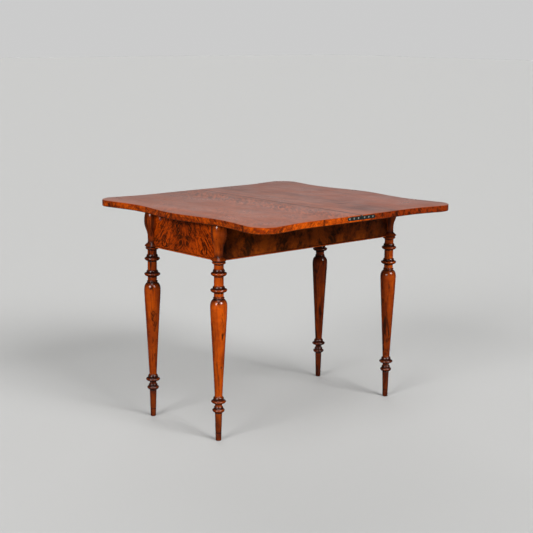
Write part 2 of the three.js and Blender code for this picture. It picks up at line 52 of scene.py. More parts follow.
def middle(node):
    low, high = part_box(node)
    return (low + high) / 2


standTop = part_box("leg_front_left")[1].z / mm
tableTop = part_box("upper_leaf")[1].z / mm
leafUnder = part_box("upper_leaf")[0].z / mm


# Selecting and shaping

def clearSelection():
    bpy.ops.object.select_all(action="DESELECT")


def makeActive(piece):
    clearSelection()
    piece.select_set(True)
    bpy.context.view_layer.objects.active = piece


def editPiece(piece):
    makeActive(piece)
    bpy.ops.object.mode_set(mode="EDIT")


def editAll(piece, kind="VERT"):
    # opens a piece for editing with all of it selected
    editPiece(piece)
    bpy.ops.mesh.select_mode(type=kind)
    bpy.ops.mesh.select_all(action="SELECT")


def leaveEdit():
    bpy.ops.object.mode_set(mode="OBJECT")


def pick(piece, kind, test):
    # selects the corners, edges or faces that pass a test, in edit mode
    bpy.ops.mesh.select_mode(type=kind)
    bpy.ops.mesh.select_all(action="DESELECT")
    shape = bmesh.from_edit_mesh(piece.data)
    for part in {"VERT": shape.verts, "EDGE": shape.edges, "FACE": shape.faces}[kind]:
        if test(part):
            part.select_set(True)
    shape.select_flush_mode()
    bmesh.update_edit_mesh(piece.data)


def named(piece, name):
    piece.name = name
    piece.data.name = name
    return piece


def applyPlace(piece):
    makeActive(piece)
    bpy.ops.object.transform_apply(location=True, rotation=True, scale=True)
    return piece


def faceOutwards(piece):
    editAll(piece)
    bpy.ops.mesh.remove_doubles(threshold=0.00001)
    bpy.ops.mesh.normals_make_consistent(inside=False)
    leaveEdit()


def applyBevel(piece, width, segments, angle=40, limit="ANGLE"):
    makeActive(piece)
    bpy.ops.object.modifier_add(type="BEVEL")
    bevel = piece.modifiers[-1]
    bevel.width = width * mm
    bevel.segments = segments
    bevel.limit_method = limit
    bevel.angle_limit = math.radians(angle)
    bevel.miter_outer = "MITER_ARC"
    bpy.ops.object.modifier_apply(modifier=bevel.name)


def combine(piece, other, operation):
    makeActive(piece)
    bpy.ops.object.modifier_add(type="BOOLEAN")
    boolean = piece.modifiers[-1]
    boolean.operation = operation
    boolean.solver = "EXACT"
    boolean.object = other
    bpy.ops.object.modifier_apply(modifier=boolean.name)
    bpy.data.objects.remove(other)


def smooth(piece, angle=35):
    makeActive(piece)
    bpy.ops.object.shade_smooth_by_angle(angle=math.radians(angle))


def copyOf(master):
    makeActive(master)
    bpy.ops.object.duplicate()
    return bpy.context.object


def addBlock(low, high):
    # box between two corners in millimetres
    low, high = Vector(low) * mm, Vector(high) * mm
    clearSelection()
    bpy.ops.mesh.primitive_cube_add(size=1, location=(low + high) / 2, scale=high - low)
    return applyPlace(bpy.context.object)


def addRod(radius, low, high, centre=(0, 0), sides=48):
    # upright rod between two heights in millimetres
    clearSelection()
    place = (centre[0] * mm, centre[1] * mm, (low + high) / 2 * mm)
    bpy.ops.mesh.primitive_cylinder_add(
        vertices=sides, radius=radius * mm, depth=(high - low) * mm, location=place)
    return applyPlace(bpy.context.object)


def turnUp(stations, sides):
    # turned form: a disc extruded up through its stations, each a radius and a height
    radius, height = stations[0][:2]
    clearSelection()
    bpy.ops.mesh.primitive_circle_add(
        vertices=sides, radius=radius * mm, fill_type="NGON", location=(0, 0, height * mm))
    piece = applyPlace(bpy.context.object)
    editAll(piece, "FACE")
    for newRadius, newHeight, *_ in stations[1:]:
        rise = (0, 0, (newHeight - height) * mm)
        bpy.ops.mesh.extrude_region_move(TRANSFORM_OT_translate={"value": rise})
        share = newRadius / radius
        bpy.ops.transform.resize(value=(share, share, 1), center_override=(0, 0, newHeight * mm))
        radius, height = newRadius, newHeight
    leaveEdit()
    faceOutwards(piece)
    return piece


def drawOutline(knots, steps):
    # flat filled outline in XY; a knot is its point and the handles on both sides, in millimetres
    clearSelection()
    bpy.ops.curve.primitive_bezier_curve_add(location=(0, 0, 0))
    outline = bpy.context.object
    outline.data.dimensions = "2D"
    outline.data.fill_mode = "BOTH"
    outline.data.resolution_u = steps
    spline = outline.data.splines[0]
    spline.bezier_points.add(len(knots) - len(spline.bezier_points))
    spline.use_cyclic_u = True
    for point, (place, before, after) in zip(spline.bezier_points, knots):
        point.handle_left_type = point.handle_right_type = "FREE"
        point.co = (place[0] * mm, place[1] * mm, 0)
        point.handle_left = (before[0] * mm, before[1] * mm, 0)
        point.handle_right = (after[0] * mm, after[1] * mm, 0)
    bpy.ops.object.convert(target="MESH")
    sheet = bpy.context.object
    editAll(sheet)
    bpy.ops.mesh.remove_doubles(threshold=0.000001)
    bpy.ops.mesh.dissolve_faces()
    leaveEdit()
    return sheet


def slabFrom(knots, low, high, steps):
    # slab with that outline between two heights in millimetres
    slab = drawOutline(knots, steps)
    editAll(slab, "FACE")
    bpy.ops.transform.translate(value=(0, 0, low * mm))
    bpy.ops.mesh.extrude_region_move(TRANSFORM_OT_translate={"value": (0, 0, (high - low) * mm)})
    leaveEdit()
    faceOutwards(slab)
    return slab


def cornerKnot(x, y):
    return ((x, y), (x, y), (x, y))


def arcKnots(centre, radius, start, finish, pieces=2):
    # knots along an arc, in radians, with the handles that make it round
    turn = (finish - start) / pieces
    handle = 4 / 3 * math.tan(turn / 4) * radius
    knots = []
    for i in range(pieces + 1):
        angle = start + i * turn
        x, y = centre[0] + radius * math.cos(angle), centre[1] + radius * math.sin(angle)
        ahead = (-math.sin(angle) * handle, math.cos(angle) * handle)
        knots.append([(x, y), (x - ahead[0], y - ahead[1]), (x + ahead[0], y + ahead[1])])
    return knots


# Shared effects, as node groups

class Value:
    # output of a node, which can be added, taken away and multiplied like a number
    def __init__(self, nodes, socket):
        self.nodes = nodes
        self.socket = socket

    def __add__(self, other):
        return self.nodes.math("ADD", self, other)

    def __sub__(self, other):
        return self.nodes.math("SUBTRACT", self, other)

    def __rsub__(self, other):
        return self.nodes.math("SUBTRACT", other, self)

    def __mul__(self, other):
        return self.nodes.math("MULTIPLY", self, other)

    def __abs__(self):
        return self.nodes.math("ABSOLUTE", self)

    def range(self, fromLow, fromHigh, toLow=0.0, toHigh=1.0, smoothly=True):
        return self.nodes.value("ShaderNodeMapRange", {
            "Value": self, "From Min": fromLow, "From Max": fromHigh, "To Min": toLow,
            "To Max": toHigh}, interpolation_type="SMOOTHSTEP" if smoothly else "LINEAR")


class Nodes:
    # short way to place and join nodes in a tree
    def __init__(self, tree):
        self.tree = tree
        self.count = 0

    def add(self, kind, values=None, **settings):
        node = self.tree.nodes.new(kind)
        self.count += 1
        node.location = (220 * (self.count % 9), -260 * (self.count // 9))
        for key, value in settings.items():
            setattr(node, key, value)
        for key, value in (values or {}).items():
            self.put(node.inputs[key], value)
        return node

    def put(self, socket, value):
        if isinstance(value, Value):
            self.tree.links.new(value.socket, socket)
        else:
            socket.default_value = value

    def value(self, kind, values=None, output=0, **settings):
        return Value(self, self.add(kind, values, **settings).outputs[output])

    def outputs(self, node):
        return {socket.name: Value(self, socket) for socket in node.outputs}

    def math(self, operation, first, second=0.0):
        return self.value("ShaderNodeMath", {0: first, 1: second}, operation=operation)

    def vector(self, operation, first, second):
        return self.value("ShaderNodeVectorMath", {0: first, 1: second}, operation=operation)

    def parts(self, vector):
        return [Value(self, part) for part in self.add("ShaderNodeSeparateXYZ", {0: vector}).outputs]

    def joined(self, x, y, z):
        return self.value("ShaderNodeCombineXYZ", {0: x, 1: y, 2: z})

    def mark(self, name):
        return self.value("ShaderNodeAttribute", output="Fac", attribute_name=name)

    def noise(self, vector, scale, detail=3.0, roughness=0.5, distortion=0.0, output="Fac"):
        return self.value("ShaderNodeTexNoise", {
            "Vector": vector, "Scale": scale, "Detail": detail,
            "Roughness": roughness, "Distortion": distortion}, output)

    def warp(self, vector, scale, amount):
        # moves a vector by a soft noise, at most half the amount each way
        drift = self.vector("SUBTRACT", self.noise(vector, scale, 2.0, output="Color"), (0.5, 0.5, 0.5))
        drift = self.value("ShaderNodeVectorMath", {0: drift, 3: amount}, operation="SCALE")
        return self.vector("ADD", vector, drift)

    def turned(self, vector, turn):
        return self.value("ShaderNodeVectorRotate", {"Vector": vector, "Rotation": turn},
                          rotation_type="EULER_XYZ")

    def mapping(self, vector, scale=(1, 1, 1), turn=(0, 0, 0), place=(0, 0, 0)):
        return self.value("ShaderNodeMapping", {
            "Vector": vector, "Scale": scale, "Rotation": turn, "Location": place})

    def mix(self, share, first, second, blend="MIX"):
        return self.value("ShaderNodeMix", {0: share, 6: first, 7: second}, 2,
                          data_type="RGBA", blend_type=blend)

    def layers(self, ground, *coats):
        # lays colours over a ground one after the other, each with its share
        for share, colour in coats:
            ground = self.mix(share, ground, colour)
        return ground


def newGroup(name, inputs, outputs):
    tree = bpy.data.node_groups.new(name, "ShaderNodeTree")
    for socketName, kind, value in inputs:
        socket = tree.interface.new_socket(socketName, in_out="INPUT", socket_type="NodeSocket" + kind)
        if value is not None:
            socket.default_value = value
    for socketName in outputs:
        tree.interface.new_socket(socketName, in_out="OUTPUT", socket_type="NodeSocketFloat")
    nodes = Nodes(tree)
    given = nodes.outputs(nodes.add("NodeGroupInput"))
    return tree, nodes, given


def makeGrainGroup():
    # fine lines along Z of the given vector, with wider bands and open pores
    tree, nodes, given = newGroup("woodGrain", [
        ("Vector", "Vector", None),
        ("Line Scale", "Float", 300.0),
        ("Stretch", "Float", 0.05),
        ("Waviness", "Float", 0.01),
    ], ["Lines", "Bands", "Pores"])
    scale = given["Line Scale"]
    drift = nodes.warp(given["Vector"], 6.0, given["Waviness"])
    drawn = nodes.vector("MULTIPLY", drift, nodes.joined(1.0, 1.0, given["Stretch"]))
    nodes.add("NodeGroupOutput", {
        "Lines": nodes.noise(drawn, scale, 4.0, 0.65).range(0.3, 0.7),
        "Bands": nodes.noise(drawn, scale * 0.13, 3.0, 0.55).range(0.3, 0.7),
        "Pores": nodes.noise(drawn, scale * 2.4, 1.0, 0.5).range(0.62, 0.74),
    })
    return tree


def makeFeatherGroup():
    # flame veneer: long wavy strokes that rise away from the Z axis of the given vector, over clouds
    tree, nodes, given = newGroup("featherFigure", [
        ("Vector", "Vector", None),
        ("Lean", "Float", 0.5),
        ("Stroke Scale", "Float", 110.0),
        ("Swirl", "Float", 0.03),
    ], ["Strokes", "Clouds", "Fibre"])
    scale = given["Stroke Scale"]
    folded = nodes.warp(given["Vector"], 14.0, given["Swirl"])
    waved = nodes.warp(folded, 60.0, given["Swirl"] * 0.12)
    drawn = nodes.mapping(nodes.turned(waved, nodes.joined(0.0, given["Lean"], 0.0)), (1, 1, 0.12))
    nodes.add("NodeGroupOutput", {
        "Strokes": nodes.noise(drawn, scale, 5.0, 0.68).range(0.38, 0.62),
        "Clouds": nodes.noise(nodes.mapping(folded, (1, 1, 0.6)), scale * 0.13, 3.0, 0.55).range(0.31, 0.62),
        "Fibre": nodes.noise(drawn, scale * 5.0, 3.0, 0.65).range(0.3, 0.7),
    })
    return tree


def makeWearGroup():
    # old polish: patchy gloss, a faint ripple and scattered dull rubs
    tree, nodes, given = newGroup("oldPolish", [
        ("Vector", "Vector", None),
        ("Gloss", "Float", 0.25),
        ("Spread", "Float", 0.12),
    ], ["Roughness", "Ripple"])
    patches = nodes.noise(given["Vector"], 9.0, 4.0, 0.6).range(0.25, 0.75)
    rubs = nodes.noise(given["Vector"], 38.0, 5.0, 0.7, 0.4).range(0.6, 0.72)
    nodes.add("NodeGroupOutput", {
        "Roughness": given["Gloss"] + patches * given["Spread"] + rubs * given["Spread"],
        "Ripple": nodes.noise(given["Vector"], 260.0, 2.0, 0.5),
    })
    return tree


grainGroup = makeGrainGroup()
featherGroup = makeFeatherGroup()
wearGroup = makeWearGroup()


# Finishes

def newFinish(name, fixed):
    # material with a Principled shader; the fixed values go straight on its sockets
    finish = bpy.data.materials.new(name)
    finish.use_nodes = True
    nodes = Nodes(finish.node_tree)
    finish.node_tree.nodes.clear()
    shader = nodes.add("ShaderNodeBsdfPrincipled", fixed)
    nodes.add("ShaderNodeOutputMaterial", {"Surface": Value(nodes, shader.outputs[0])})
    place = nodes.value("ShaderNodeTexCoord", output="Object")
    return finish, nodes, shader, place


def useGroup(nodes, group, values):
    return nodes.outputs(nodes.add("ShaderNodeGroup", values, node_tree=group))


def addBump(nodes, shader, height, strength, distance):
    bump = nodes.value("ShaderNodeBump", {"Strength": strength, "Distance": distance, "Height": height})
    nodes.put(shader.inputs["Normal"], bump)


def addWood(nodes, shader, place, wood, gloss, spread, texture, strength=0.25):
    # colour and old polish, with the wood's texture in its relief
    nodes.put(shader.inputs["Base Color"], wood)
    wear = useGroup(nodes, wearGroup, {"Vector": place, "Gloss": gloss, "Spread": spread})
    nodes.put(shader.inputs["Roughness"], wear["Roughness"])
    addBump(nodes, shader, wear["Ripple"] + texture * -0.4, strength, 0.0002)


polish = {"Coat Weight": 1.0, "Coat Roughness": 0.12, "Specular IOR Level": 0.05}

legColours = {
    "light": (0.73, 0.112, 0.001, 1),
    "deep": (0.40, 0.044, 0.001, 1),
    "streak": (0.05, 0.01, 0.001, 1),
    "wine": (0.045, 0.0095, 0.004, 1),
    "groove": (0.008, 0.002, 0.001, 1),
    "shade": (0.42, 0.37, 0.3, 1),
}
legFigureShift = (0.6, 0.4, 0.5)


def makeLegFinish():
    # curly wood with knots and specks, stained dark on the rings, dark in the turned grooves from dirt and
    # painted shade, and darker on some legs, partly their own tone and partly painted shade
    finish, nodes, shader, place = newFinish("polishedLegWood", polish)
    light, deep, streak, wine, groove, shade = legColours.values()
    shifted = nodes.mapping(place, place=legFigureShift)
    grain = useGroup(nodes, grainGroup, {
        "Vector": shifted, "Line Scale": 420.0, "Stretch": 0.045, "Waviness": 0.006})
    flame = nodes.noise(nodes.mapping(shifted, (1, 1, 0.4)), 36.0, 4.0, 0.6, 0.6).range(0.36, 0.66)
    curl = nodes.noise(nodes.mapping(place, (0.5, 0.5, 1)), 85.0, 3.0, 0.6, 0.5).range(0.4, 0.68)
    knots = nodes.noise(nodes.mapping(shifted, (1, 1, 0.18)), 58.0, 5.0, 0.66, 0.9)
    specks = nodes.noise(nodes.mapping(place, (1, 1, 0.6)), 130.0, 1.0, 0.5)
    height = nodes.parts(place)[2]
    # depth is how much darker this leg is, partly its own tone and partly painted shade; the darker legs
    # also show more knots
    depth = nodes.mark("depth")
    stainAndShade = nodes.mark("stainAndShade") + (flame - 0.5) * 0.16
    wood = nodes.layers(
        light,
        (grain["Bands"] * 0.35 + flame * 0.35 + curl * 0.3, deep),
        (grain["Bands"].range(0.5, 0.95) * height.range(0.62, 0.66, 0.35, 0.85), streak),
        (grain["Lines"] * 0.3, deep),
        ((knots + depth * 0.1).range(0.55, 0.69, 0.0, 0.95), streak),
        (specks.range(0.73, 0.79, 0.0, 0.8), streak))
    wood = nodes.layers(
        nodes.mix(depth, wood, shade, "MULTIPLY"),
        (stainAndShade.range(0.08, 0.8, smoothly=False), wine),
        (stainAndShade.range(0.85, 1.0), groove))
    addWood(nodes, shader, place, wood, 0.2, 0.12, grain["Lines"])
    return finish


apron = {
    "thickness": 22, "proud": 2, "arris": 0.7, "lowEdge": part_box("apron_front")[0].z / mm,
    "beadHeight": 4.2, "beadOut": 1.1, "beadRound": 0.95, "beadSteps": 4,
    # the first of these is how far down the apron the painted shade under the leaf reaches, in millimetres
    "shadeUnderLeaf": 9, "sheetWidth": 0.2,
}
apronColours = {
    "bright": (0.76, 0.09, 0.001, 1),
    "mid": (0.35, 0.036, 0.001, 1),
    "dark": (0.065, 0.011, 0.001, 1),
    "seam": (0.02, 0.004, 0.001, 1),
}
longSideColours = {
    "bright": (0.62, 0.11, 0.004, 1),
    "mid": (0.32, 0.052, 0.003, 1),
    "dark": (0.06, 0.015, 0.002, 1),
    "seam": (0.02, 0.004, 0.001, 1),
}


def makeApronFinish(name, alongX, colours, strokes, cloudiness, shadeBesideLegs):
    # sheets of flame veneer, opened like a book at each joint, dark above the bead, with painted shade under
    # the leaf and beside the legs
    finish, nodes, shader, place = newFinish(name, polish)
    bright, mid, dark, seam = colours.values()
    x, y, height = nodes.parts(place)
    along, depth = (x, y) if alongX else (y, x)
    opened = nodes.math("PINGPONG", along, apron["sheetWidth"])
    feather = useGroup(nodes, featherGroup, {
        "Vector": nodes.joined(opened, depth, height), "Lean": 0.55, "Stroke Scale": 190.0, "Swirl": 0.06})
    outwards = opened.range(0.02, 0.1, strokes * 0.6, strokes)
    clouds = feather["Clouds"].range(
        0.0, 1.0, 0.45 * (1 - cloudiness), 0.45 + 0.55 * cloudiness, False)
    drift = nodes.noise(place, 21.0, 4.0, 0.65).range(0.35, 0.65, -0.4, 0.4)
    ground = clouds + drift - opened.range(0.02, 0.0, 0.0, 0.2)
    overBead = height - (apron["lowEdge"] + apron["beadHeight"]) * mm
    legPlace = middle(legNames[1])
    fromLeg = (legPlace.x if alongX else -legPlace.y) - abs(along)
    fromTop = standTop * mm - height
    wood = nodes.layers(
        dark,
        (ground.range(0.0, 0.55), mid),
        (ground.range(0.35, 1.0), bright),
        (feather["Strokes"].range(0.45, 0.9) * outwards, bright),
        (feather["Strokes"].range(0.5, 0.05) * outwards * 0.85, dark),
        (feather["Fibre"] * 0.4, dark),
        (opened.range(0.0012, 0.0003, 0.0, 0.8), seam),
        (overBead.range(0.0035, 0.001, 0.0, 0.9), seam),
        # painted shade beside the legs, and under the leaf along the top
        (fromLeg.range(0.1, 0.02, 0.0, shadeBesideLegs), seam),
        (fromTop.range(apron["shadeUnderLeaf"] * mm, 0.0, 0.0, 0.9), seam))
    addWood(nodes, shader, place, wood, 0.22, 0.14, feather["Fibre"])
    return finish


beadColours = ((0.68, 0.11, 0.004, 1), (0.36, 0.045, 0.002, 1))


def makeBeadFinish():
    finish, nodes, shader, place = newFinish("apronBeadWood", polish)
    tone = nodes.noise(place, 60.0, 3.0, 0.6).range(0.3, 0.7)
    addWood(nodes, shader, place, nodes.mix(tone, *beadColours), 0.2, 0.1, tone)
    return finish


topColours = {
    "light": (0.56, 0.13, 0.04, 1),
    "mid": (0.33, 0.066, 0.02, 1),
    "dark": (0.11, 0.022, 0.008, 1),
    "seam": (0.02, 0.006, 0.003, 1),
}


def makeTopFinish(name, strength, mottleAll):
    # wide sheets of veneer with the grain along Y, rippled beside the joint
    finish, nodes, shader, place = newFinish(name, {
        "Coat Weight": 0.35, "Coat Roughness": 0.16, "Specular IOR Level": 0.5})
    light, mid, dark, seam = topColours.values()
    across, deep, height = nodes.parts(place)
    grain = useGroup(nodes, grainGroup, {
        "Vector": nodes.mapping(place, turn=(math.pi / 2, 0, 0)),
        "Line Scale": 430.0, "Stretch": 0.03, "Waviness": 0.03})
    clouds = nodes.noise(nodes.mapping(place, (1, 0.3, 1)), 8.0, 4.0, 0.6, 0.4).range(0.36, 0.66)
    streaks = nodes.noise(nodes.mapping(place, (1, 0.09, 1)), 42.0, 4.0, 0.65, 0.3).range(0.38, 0.64)
    opened = nodes.turned(nodes.joined(abs(across), deep, height), (0, 0, 0.84))
    ripple = nodes.noise(nodes.mapping(opened, (0.22, 1, 1)), 105.0, 2.0, 0.55, 0.4)
    beside = abs(across + 0.08).range(0.09, 0.02, 0.0, 0.75)
    patches = nodes.noise(place, 7.0, 2.0, 0.5).range(0.45, 0.65, 0.05, 0.5)
    mottled = beside + patches + mottleAll
    # a darker streaky band on the upper leaf beside the joint
    darkBand = abs(across - 0.12).range(0.13, 0.03) * clouds.range(0.0, 1.0, 0.2, 0.6)
    tone = clouds * 0.45 + grain["Bands"] * 0.3 + streaks * 0.3
    wood = nodes.layers(
        light,
        (tone + across.range(0.0, 0.3, 0.0, 0.35), mid),
        (grain["Lines"] * 0.4, dark),
        (grain["Pores"] * 0.5, dark),
        (darkBand * (streaks + 0.35), dark),
        (ripple.range(0.48, 0.38) * mottled * 0.7, light),
        (ripple.range(0.5, 0.62) * mottled * 0.65, dark),
        (abs(across).range(0.005, 0.0015, 0.0, 0.95), seam))
    wood = nodes.mix(1.0, wood, (strength, strength, strength, 1), "MULTIPLY")
    addWood(nodes, shader, place, wood, 0.26, 0.14, grain["Lines"], 0.3)
    return finish


edgeColours = {
    "bright": (0.9, 0.13, 0.001, 1),
    "mid": (0.34, 0.036, 0.001, 1),
    "dark": (0.05, 0.008, 0.001, 1),
    "seam": (0.015, 0.003, 0.001, 1),
}
edgeStrip = {"length": 0.35, "lean": 0.75}


def makeEdgeFinish():
    # strips of curly veneer round the edge, each with its own depth of colour, paler near the hinges, with
    # painted shade along the lower arris
    finish, nodes, shader, place = newFinish("leafEdgeVeneer", polish)
    bright, mid, dark, seam = edgeColours.values()
    along, (across, deep, height) = nodes.mark("along"), nodes.parts(place)
    number = nodes.math("FLOOR", nodes.math("DIVIDE", along, edgeStrip["length"]))
    chance = nodes.value("ShaderNodeTexWhiteNoise", {"W": number}, "Value", noise_dimensions="1D")
    opened = nodes.math("PINGPONG", along, edgeStrip["length"])
    flat = nodes.joined(opened, chance * 3.0, height)
    slanted = nodes.turned(nodes.warp(flat, 30.0, 0.012), (0, edgeStrip["lean"], 0))
    curl = nodes.noise(nodes.mapping(slanted, (1, 1, 0.2)), 210.0, 5.0, 0.68)
    patches = nodes.noise(flat, 14.0, 2.0, 0.5).range(0.4, 0.6)
    tone = nodes.noise(nodes.mapping(flat, (1, 1, 2)), 42.0, 4.0, 0.65, 0.5).range(0.32, 0.66)
    mottles = nodes.noise(nodes.mapping(flat, (1, 1, 0.6)), 80.0, 3.0, 0.6, 0.5).range(0.48, 0.62, 0.0, 0.9)
    fibre = nodes.noise(nodes.mapping(flat, (0.2, 1, 1)), 900.0, 2.0, 0.6)
    pale = across.range(0.1, 0.0) * across.range(-0.38, -0.22) * abs(deep).range(0.39, 0.42)
    fromSeam = nodes.math("MINIMUM", opened, edgeStrip["length"] - opened)
    overUnder = height - leafUnder * mm
    wood = nodes.layers(
        bright,
        (tone + across.range(0.0, 0.1, 0.0, 0.8) + chance * 0.2 - pale * 0.3, mid),
        (curl.range(0.46, 0.6) * (patches * 0.5 + 0.4) * pale.range(0.0, 1.0, 1.0, 0.65), dark),
        (mottles * across.range(0.0, 0.1, 0.12, 1.0), dark),
        (fibre.range(0.4, 0.8, 0.0, 0.4), dark),
        (fromSeam.range(0.009, 0.002, 0.0, 0.55), dark),
        (fromSeam.range(0.002, 0.0005, 0.0, 0.9), seam),
        # painted shade along the lower arris
        (overUnder.range(0.0035, 0.001, 0.0, 0.85), seam))
    addWood(nodes, shader, place, wood, 0.24, 0.12, fibre)
    return finish


def makePlainFinish(name, light, dark, alongTurn):
    # unpolished softwood with wide growth lines along one axis
    finish, nodes, shader, place = newFinish(name, {"Specular IOR Level": 0.3})
    turned = nodes.mapping(place, turn=alongTurn)
    grain = useGroup(nodes, grainGroup, {
        "Vector": turned, "Line Scale": 240.0, "Stretch": 0.03, "Waviness": 0.03})
    rings = nodes.value("ShaderNodeTexWave", {
        "Vector": nodes.mapping(turned, (1, 0.5, 0.05)), "Scale": 34.0, "Distortion": 5.0,
        "Detail": 3.0, "Detail Scale": 1.5}, "Fac", wave_type="BANDS", bands_direction="X")
    dirt = nodes.noise(place, 16.0, 4.0, 0.65)
    wood = nodes.layers(
        light,
        (rings.range(0.45, 1.0) * 0.5 + grain["Lines"] * 0.3, dark),
        (dirt.range(0.5, 0.75, 0.0, 0.45), dark))
    nodes.put(shader.inputs["Base Color"], wood)
    nodes.put(shader.inputs["Roughness"], grain["Lines"].range(0.0, 1.0, 0.6, 0.8))
    addBump(nodes, shader, grain["Lines"], 0.35, 0.0003)
    return finish


def makeMetalFinish(name, bright, dull, metallic, rough):
    # old metal: bare where it is rubbed, with dull brown patches
    finish, nodes, shader, place = newFinish(name, {})
    patina = nodes.noise(place, 220.0, 4.0, 0.65).range(0.42, 0.68)
    scratches = nodes.noise(nodes.mapping(place, (1, 1, 7)), 700.0, 2.0, 0.6)
    nodes.put(shader.inputs["Base Color"], nodes.mix(patina, bright, dull))
    nodes.put(shader.inputs["Metallic"], patina.range(0.0, 1.0, metallic, metallic * 0.5))
    nodes.put(shader.inputs["Roughness"], patina.range(0.0, 1.0, rough, rough + 0.25))
    addBump(nodes, shader, scratches, 0.3, 0.00005)
    return finish


boardColours = ((0.40, 0.23, 0.10, 1), (0.18, 0.085, 0.03, 1))
undersideColours = ((0.17, 0.06, 0.02, 1), (0.07, 0.022, 0.008, 1))
strapColours = ((0.04, 0.05, 0.044, 1), (0.014, 0.014, 0.011, 1))
screwColours = ((0.62, 0.66, 0.62, 1), (0.3, 0.3, 0.26, 1))
ironColours = ((0.16, 0.155, 0.15, 1), (0.07, 0.05, 0.04, 1))
grainAlongX, grainAlongY = (0, math.pi / 2, 0), (math.pi / 2, 0, 0)

finishes = {
    "leg": makeLegFinish(),
    "apronX": makeApronFinish("apronVeneerLongSide", True, longSideColours, 0.3, 0.45, 0.6),
    "apronY": makeApronFinish("apronVeneerShortSide", False, apronColours, 1.0, 0.7, 0.0),
    "bead": makeBeadFinish(),
    "playing": makeTopFinish("playingSurfaceVeneer", 1.0, 0.05),
    "show": makeTopFinish("closedTopVeneer", 0.75, 0.3),
    "edge": makeEdgeFinish(),
    "underside": makePlainFinish("undersideWood", *undersideColours, grainAlongY),
    "boardX": makePlainFinish("boardAlongX", *boardColours, grainAlongX),
    "boardY": makePlainFinish("boardAlongY", *boardColours, grainAlongY),
    "strap": makeMetalFinish("hingeStrapSteel", *strapColours, 0.6, 0.42),
    "screw": makeMetalFinish("filedScrewSteel", *screwColours, 0.7, 0.4),
    "iron": makeMetalFinish("blackPivotIron", *ironColours, 0.8, 0.45),
}
print("finishes made:", len(finishes))


def addFinishes(piece, *names):
    piece.data.materials.clear()
    for name in names:
        piece.data.materials.append(finishes[name])


def finishPiece(piece, name, body, node, finish=None):
    # names a finished piece, gives it its finish, and lets it stand for its node
    named(piece, name)
    if finish:
        addFinishes(piece, finish)
    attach(piece, body)
    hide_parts(node)


def markPoints(piece, name, valueAt):
    # gives every point of a piece a value for its finish, worked out from its place
    marks = piece.data.attributes.new(name, "FLOAT", "POINT")
    for vertex, mark in zip(piece.data.vertices, marks.data):
        mark.value = valueAt(vertex.co)


# Turned legs

# a ring's place is counted up from the floor, or down from the top of the stand
leg = {
    "sides": 72, "curveSteps": 7, "softening": 0.45, "figureTurn": 75,
    "foot": {"radius": 9.3, "ankle": 11.8, "ease": 1.2, "mark": 27},
    "markLine": ((-2, 0.66, 0), (-0.8, 0.85, 0.3), (0.8, 0.85, 0.3), (2, 0.64, 0)),  # up, stain, depth
    # a groove's fade is the band of painted shade on the neck below it
    "groove": {"depth": 1.5, "height": 2, "lip": 0.4, "fade": 1.4},
    "rim": {"start": 0.8, "round": ((0.1, 0), (0.65, 1.5)), "end": (1.4, 2.4)},  # inwards, up
    "ankleRing": {
        "up": 104.6, "radius": 20.3, "drop": 9, "seat": 12.6, "slope": 6.5, "cap": 15.2, "rise": 7},
    "calfRing": {
        "up": 134, "radius": 24.5, "drop": 7.5, "seat": 15, "slope": 6, "cap": 17.6, "rise": 11},
    "waist": 11.7,
    "taper": {"low": 12.6, "top": 28.1, "down": 268.5, "handles": ((0.645, 0.671), (1, 0.933))},
    "shoulder": {"radius": 19.5, "down": 243.5},
    "bead": {"radius": 19.2, "seat": 17.4, "down": 235, "height": 6},
    "neck": 15.8,
    "thirdRing": {
        "down": 212, "radius": 27.4, "drop": 8.8, "seat": 18, "slope": 5.5, "cap": 20, "rise": 8},
    "secondRing": {
        "down": 158.5, "radius": 26.3, "drop": 8.5, "seat": 18, "slope": 6, "cap": 19.6, "rise": 9},
    "collar": {"radius": 22.4, "down": 120.5, "height": 7, "fade": 1.6},
    "topRing": {"down": 114.5, "radius": 26, "drop": 5, "seat": 21.6, "slope": 11},
    "baluster": {"neck": 14.8, "neckDown": 85.5, "swell": 26.3, "swellDown": 27.5, "top": 22.4},
}
# 0 is the bare wood, 1 the black in the bottom of a groove, from dirt and painted shade
legStains = {
    "ankleRing": {"below": 0.62, "rim": 0.62, "above": 0.52},
    "calfRing": {"below": 0.62, "rim": 0.62, "above": 0.3},
    "high": {"below": 0.14, "rim": 0.4, "above": 0.14},
}
# how much darker each leg is below and above the two heights, partly its own tone and partly painted shade
# where less light reaches it than the front left leg
legToneAndShade = {
    "heights": (400, 500),
    "leg_front_left": (0, 0), "leg_front_right": (0.5, 0.15),
    "leg_back_right": (0.75, 0.9), "leg_back_left": (0.2, 0.55),
}


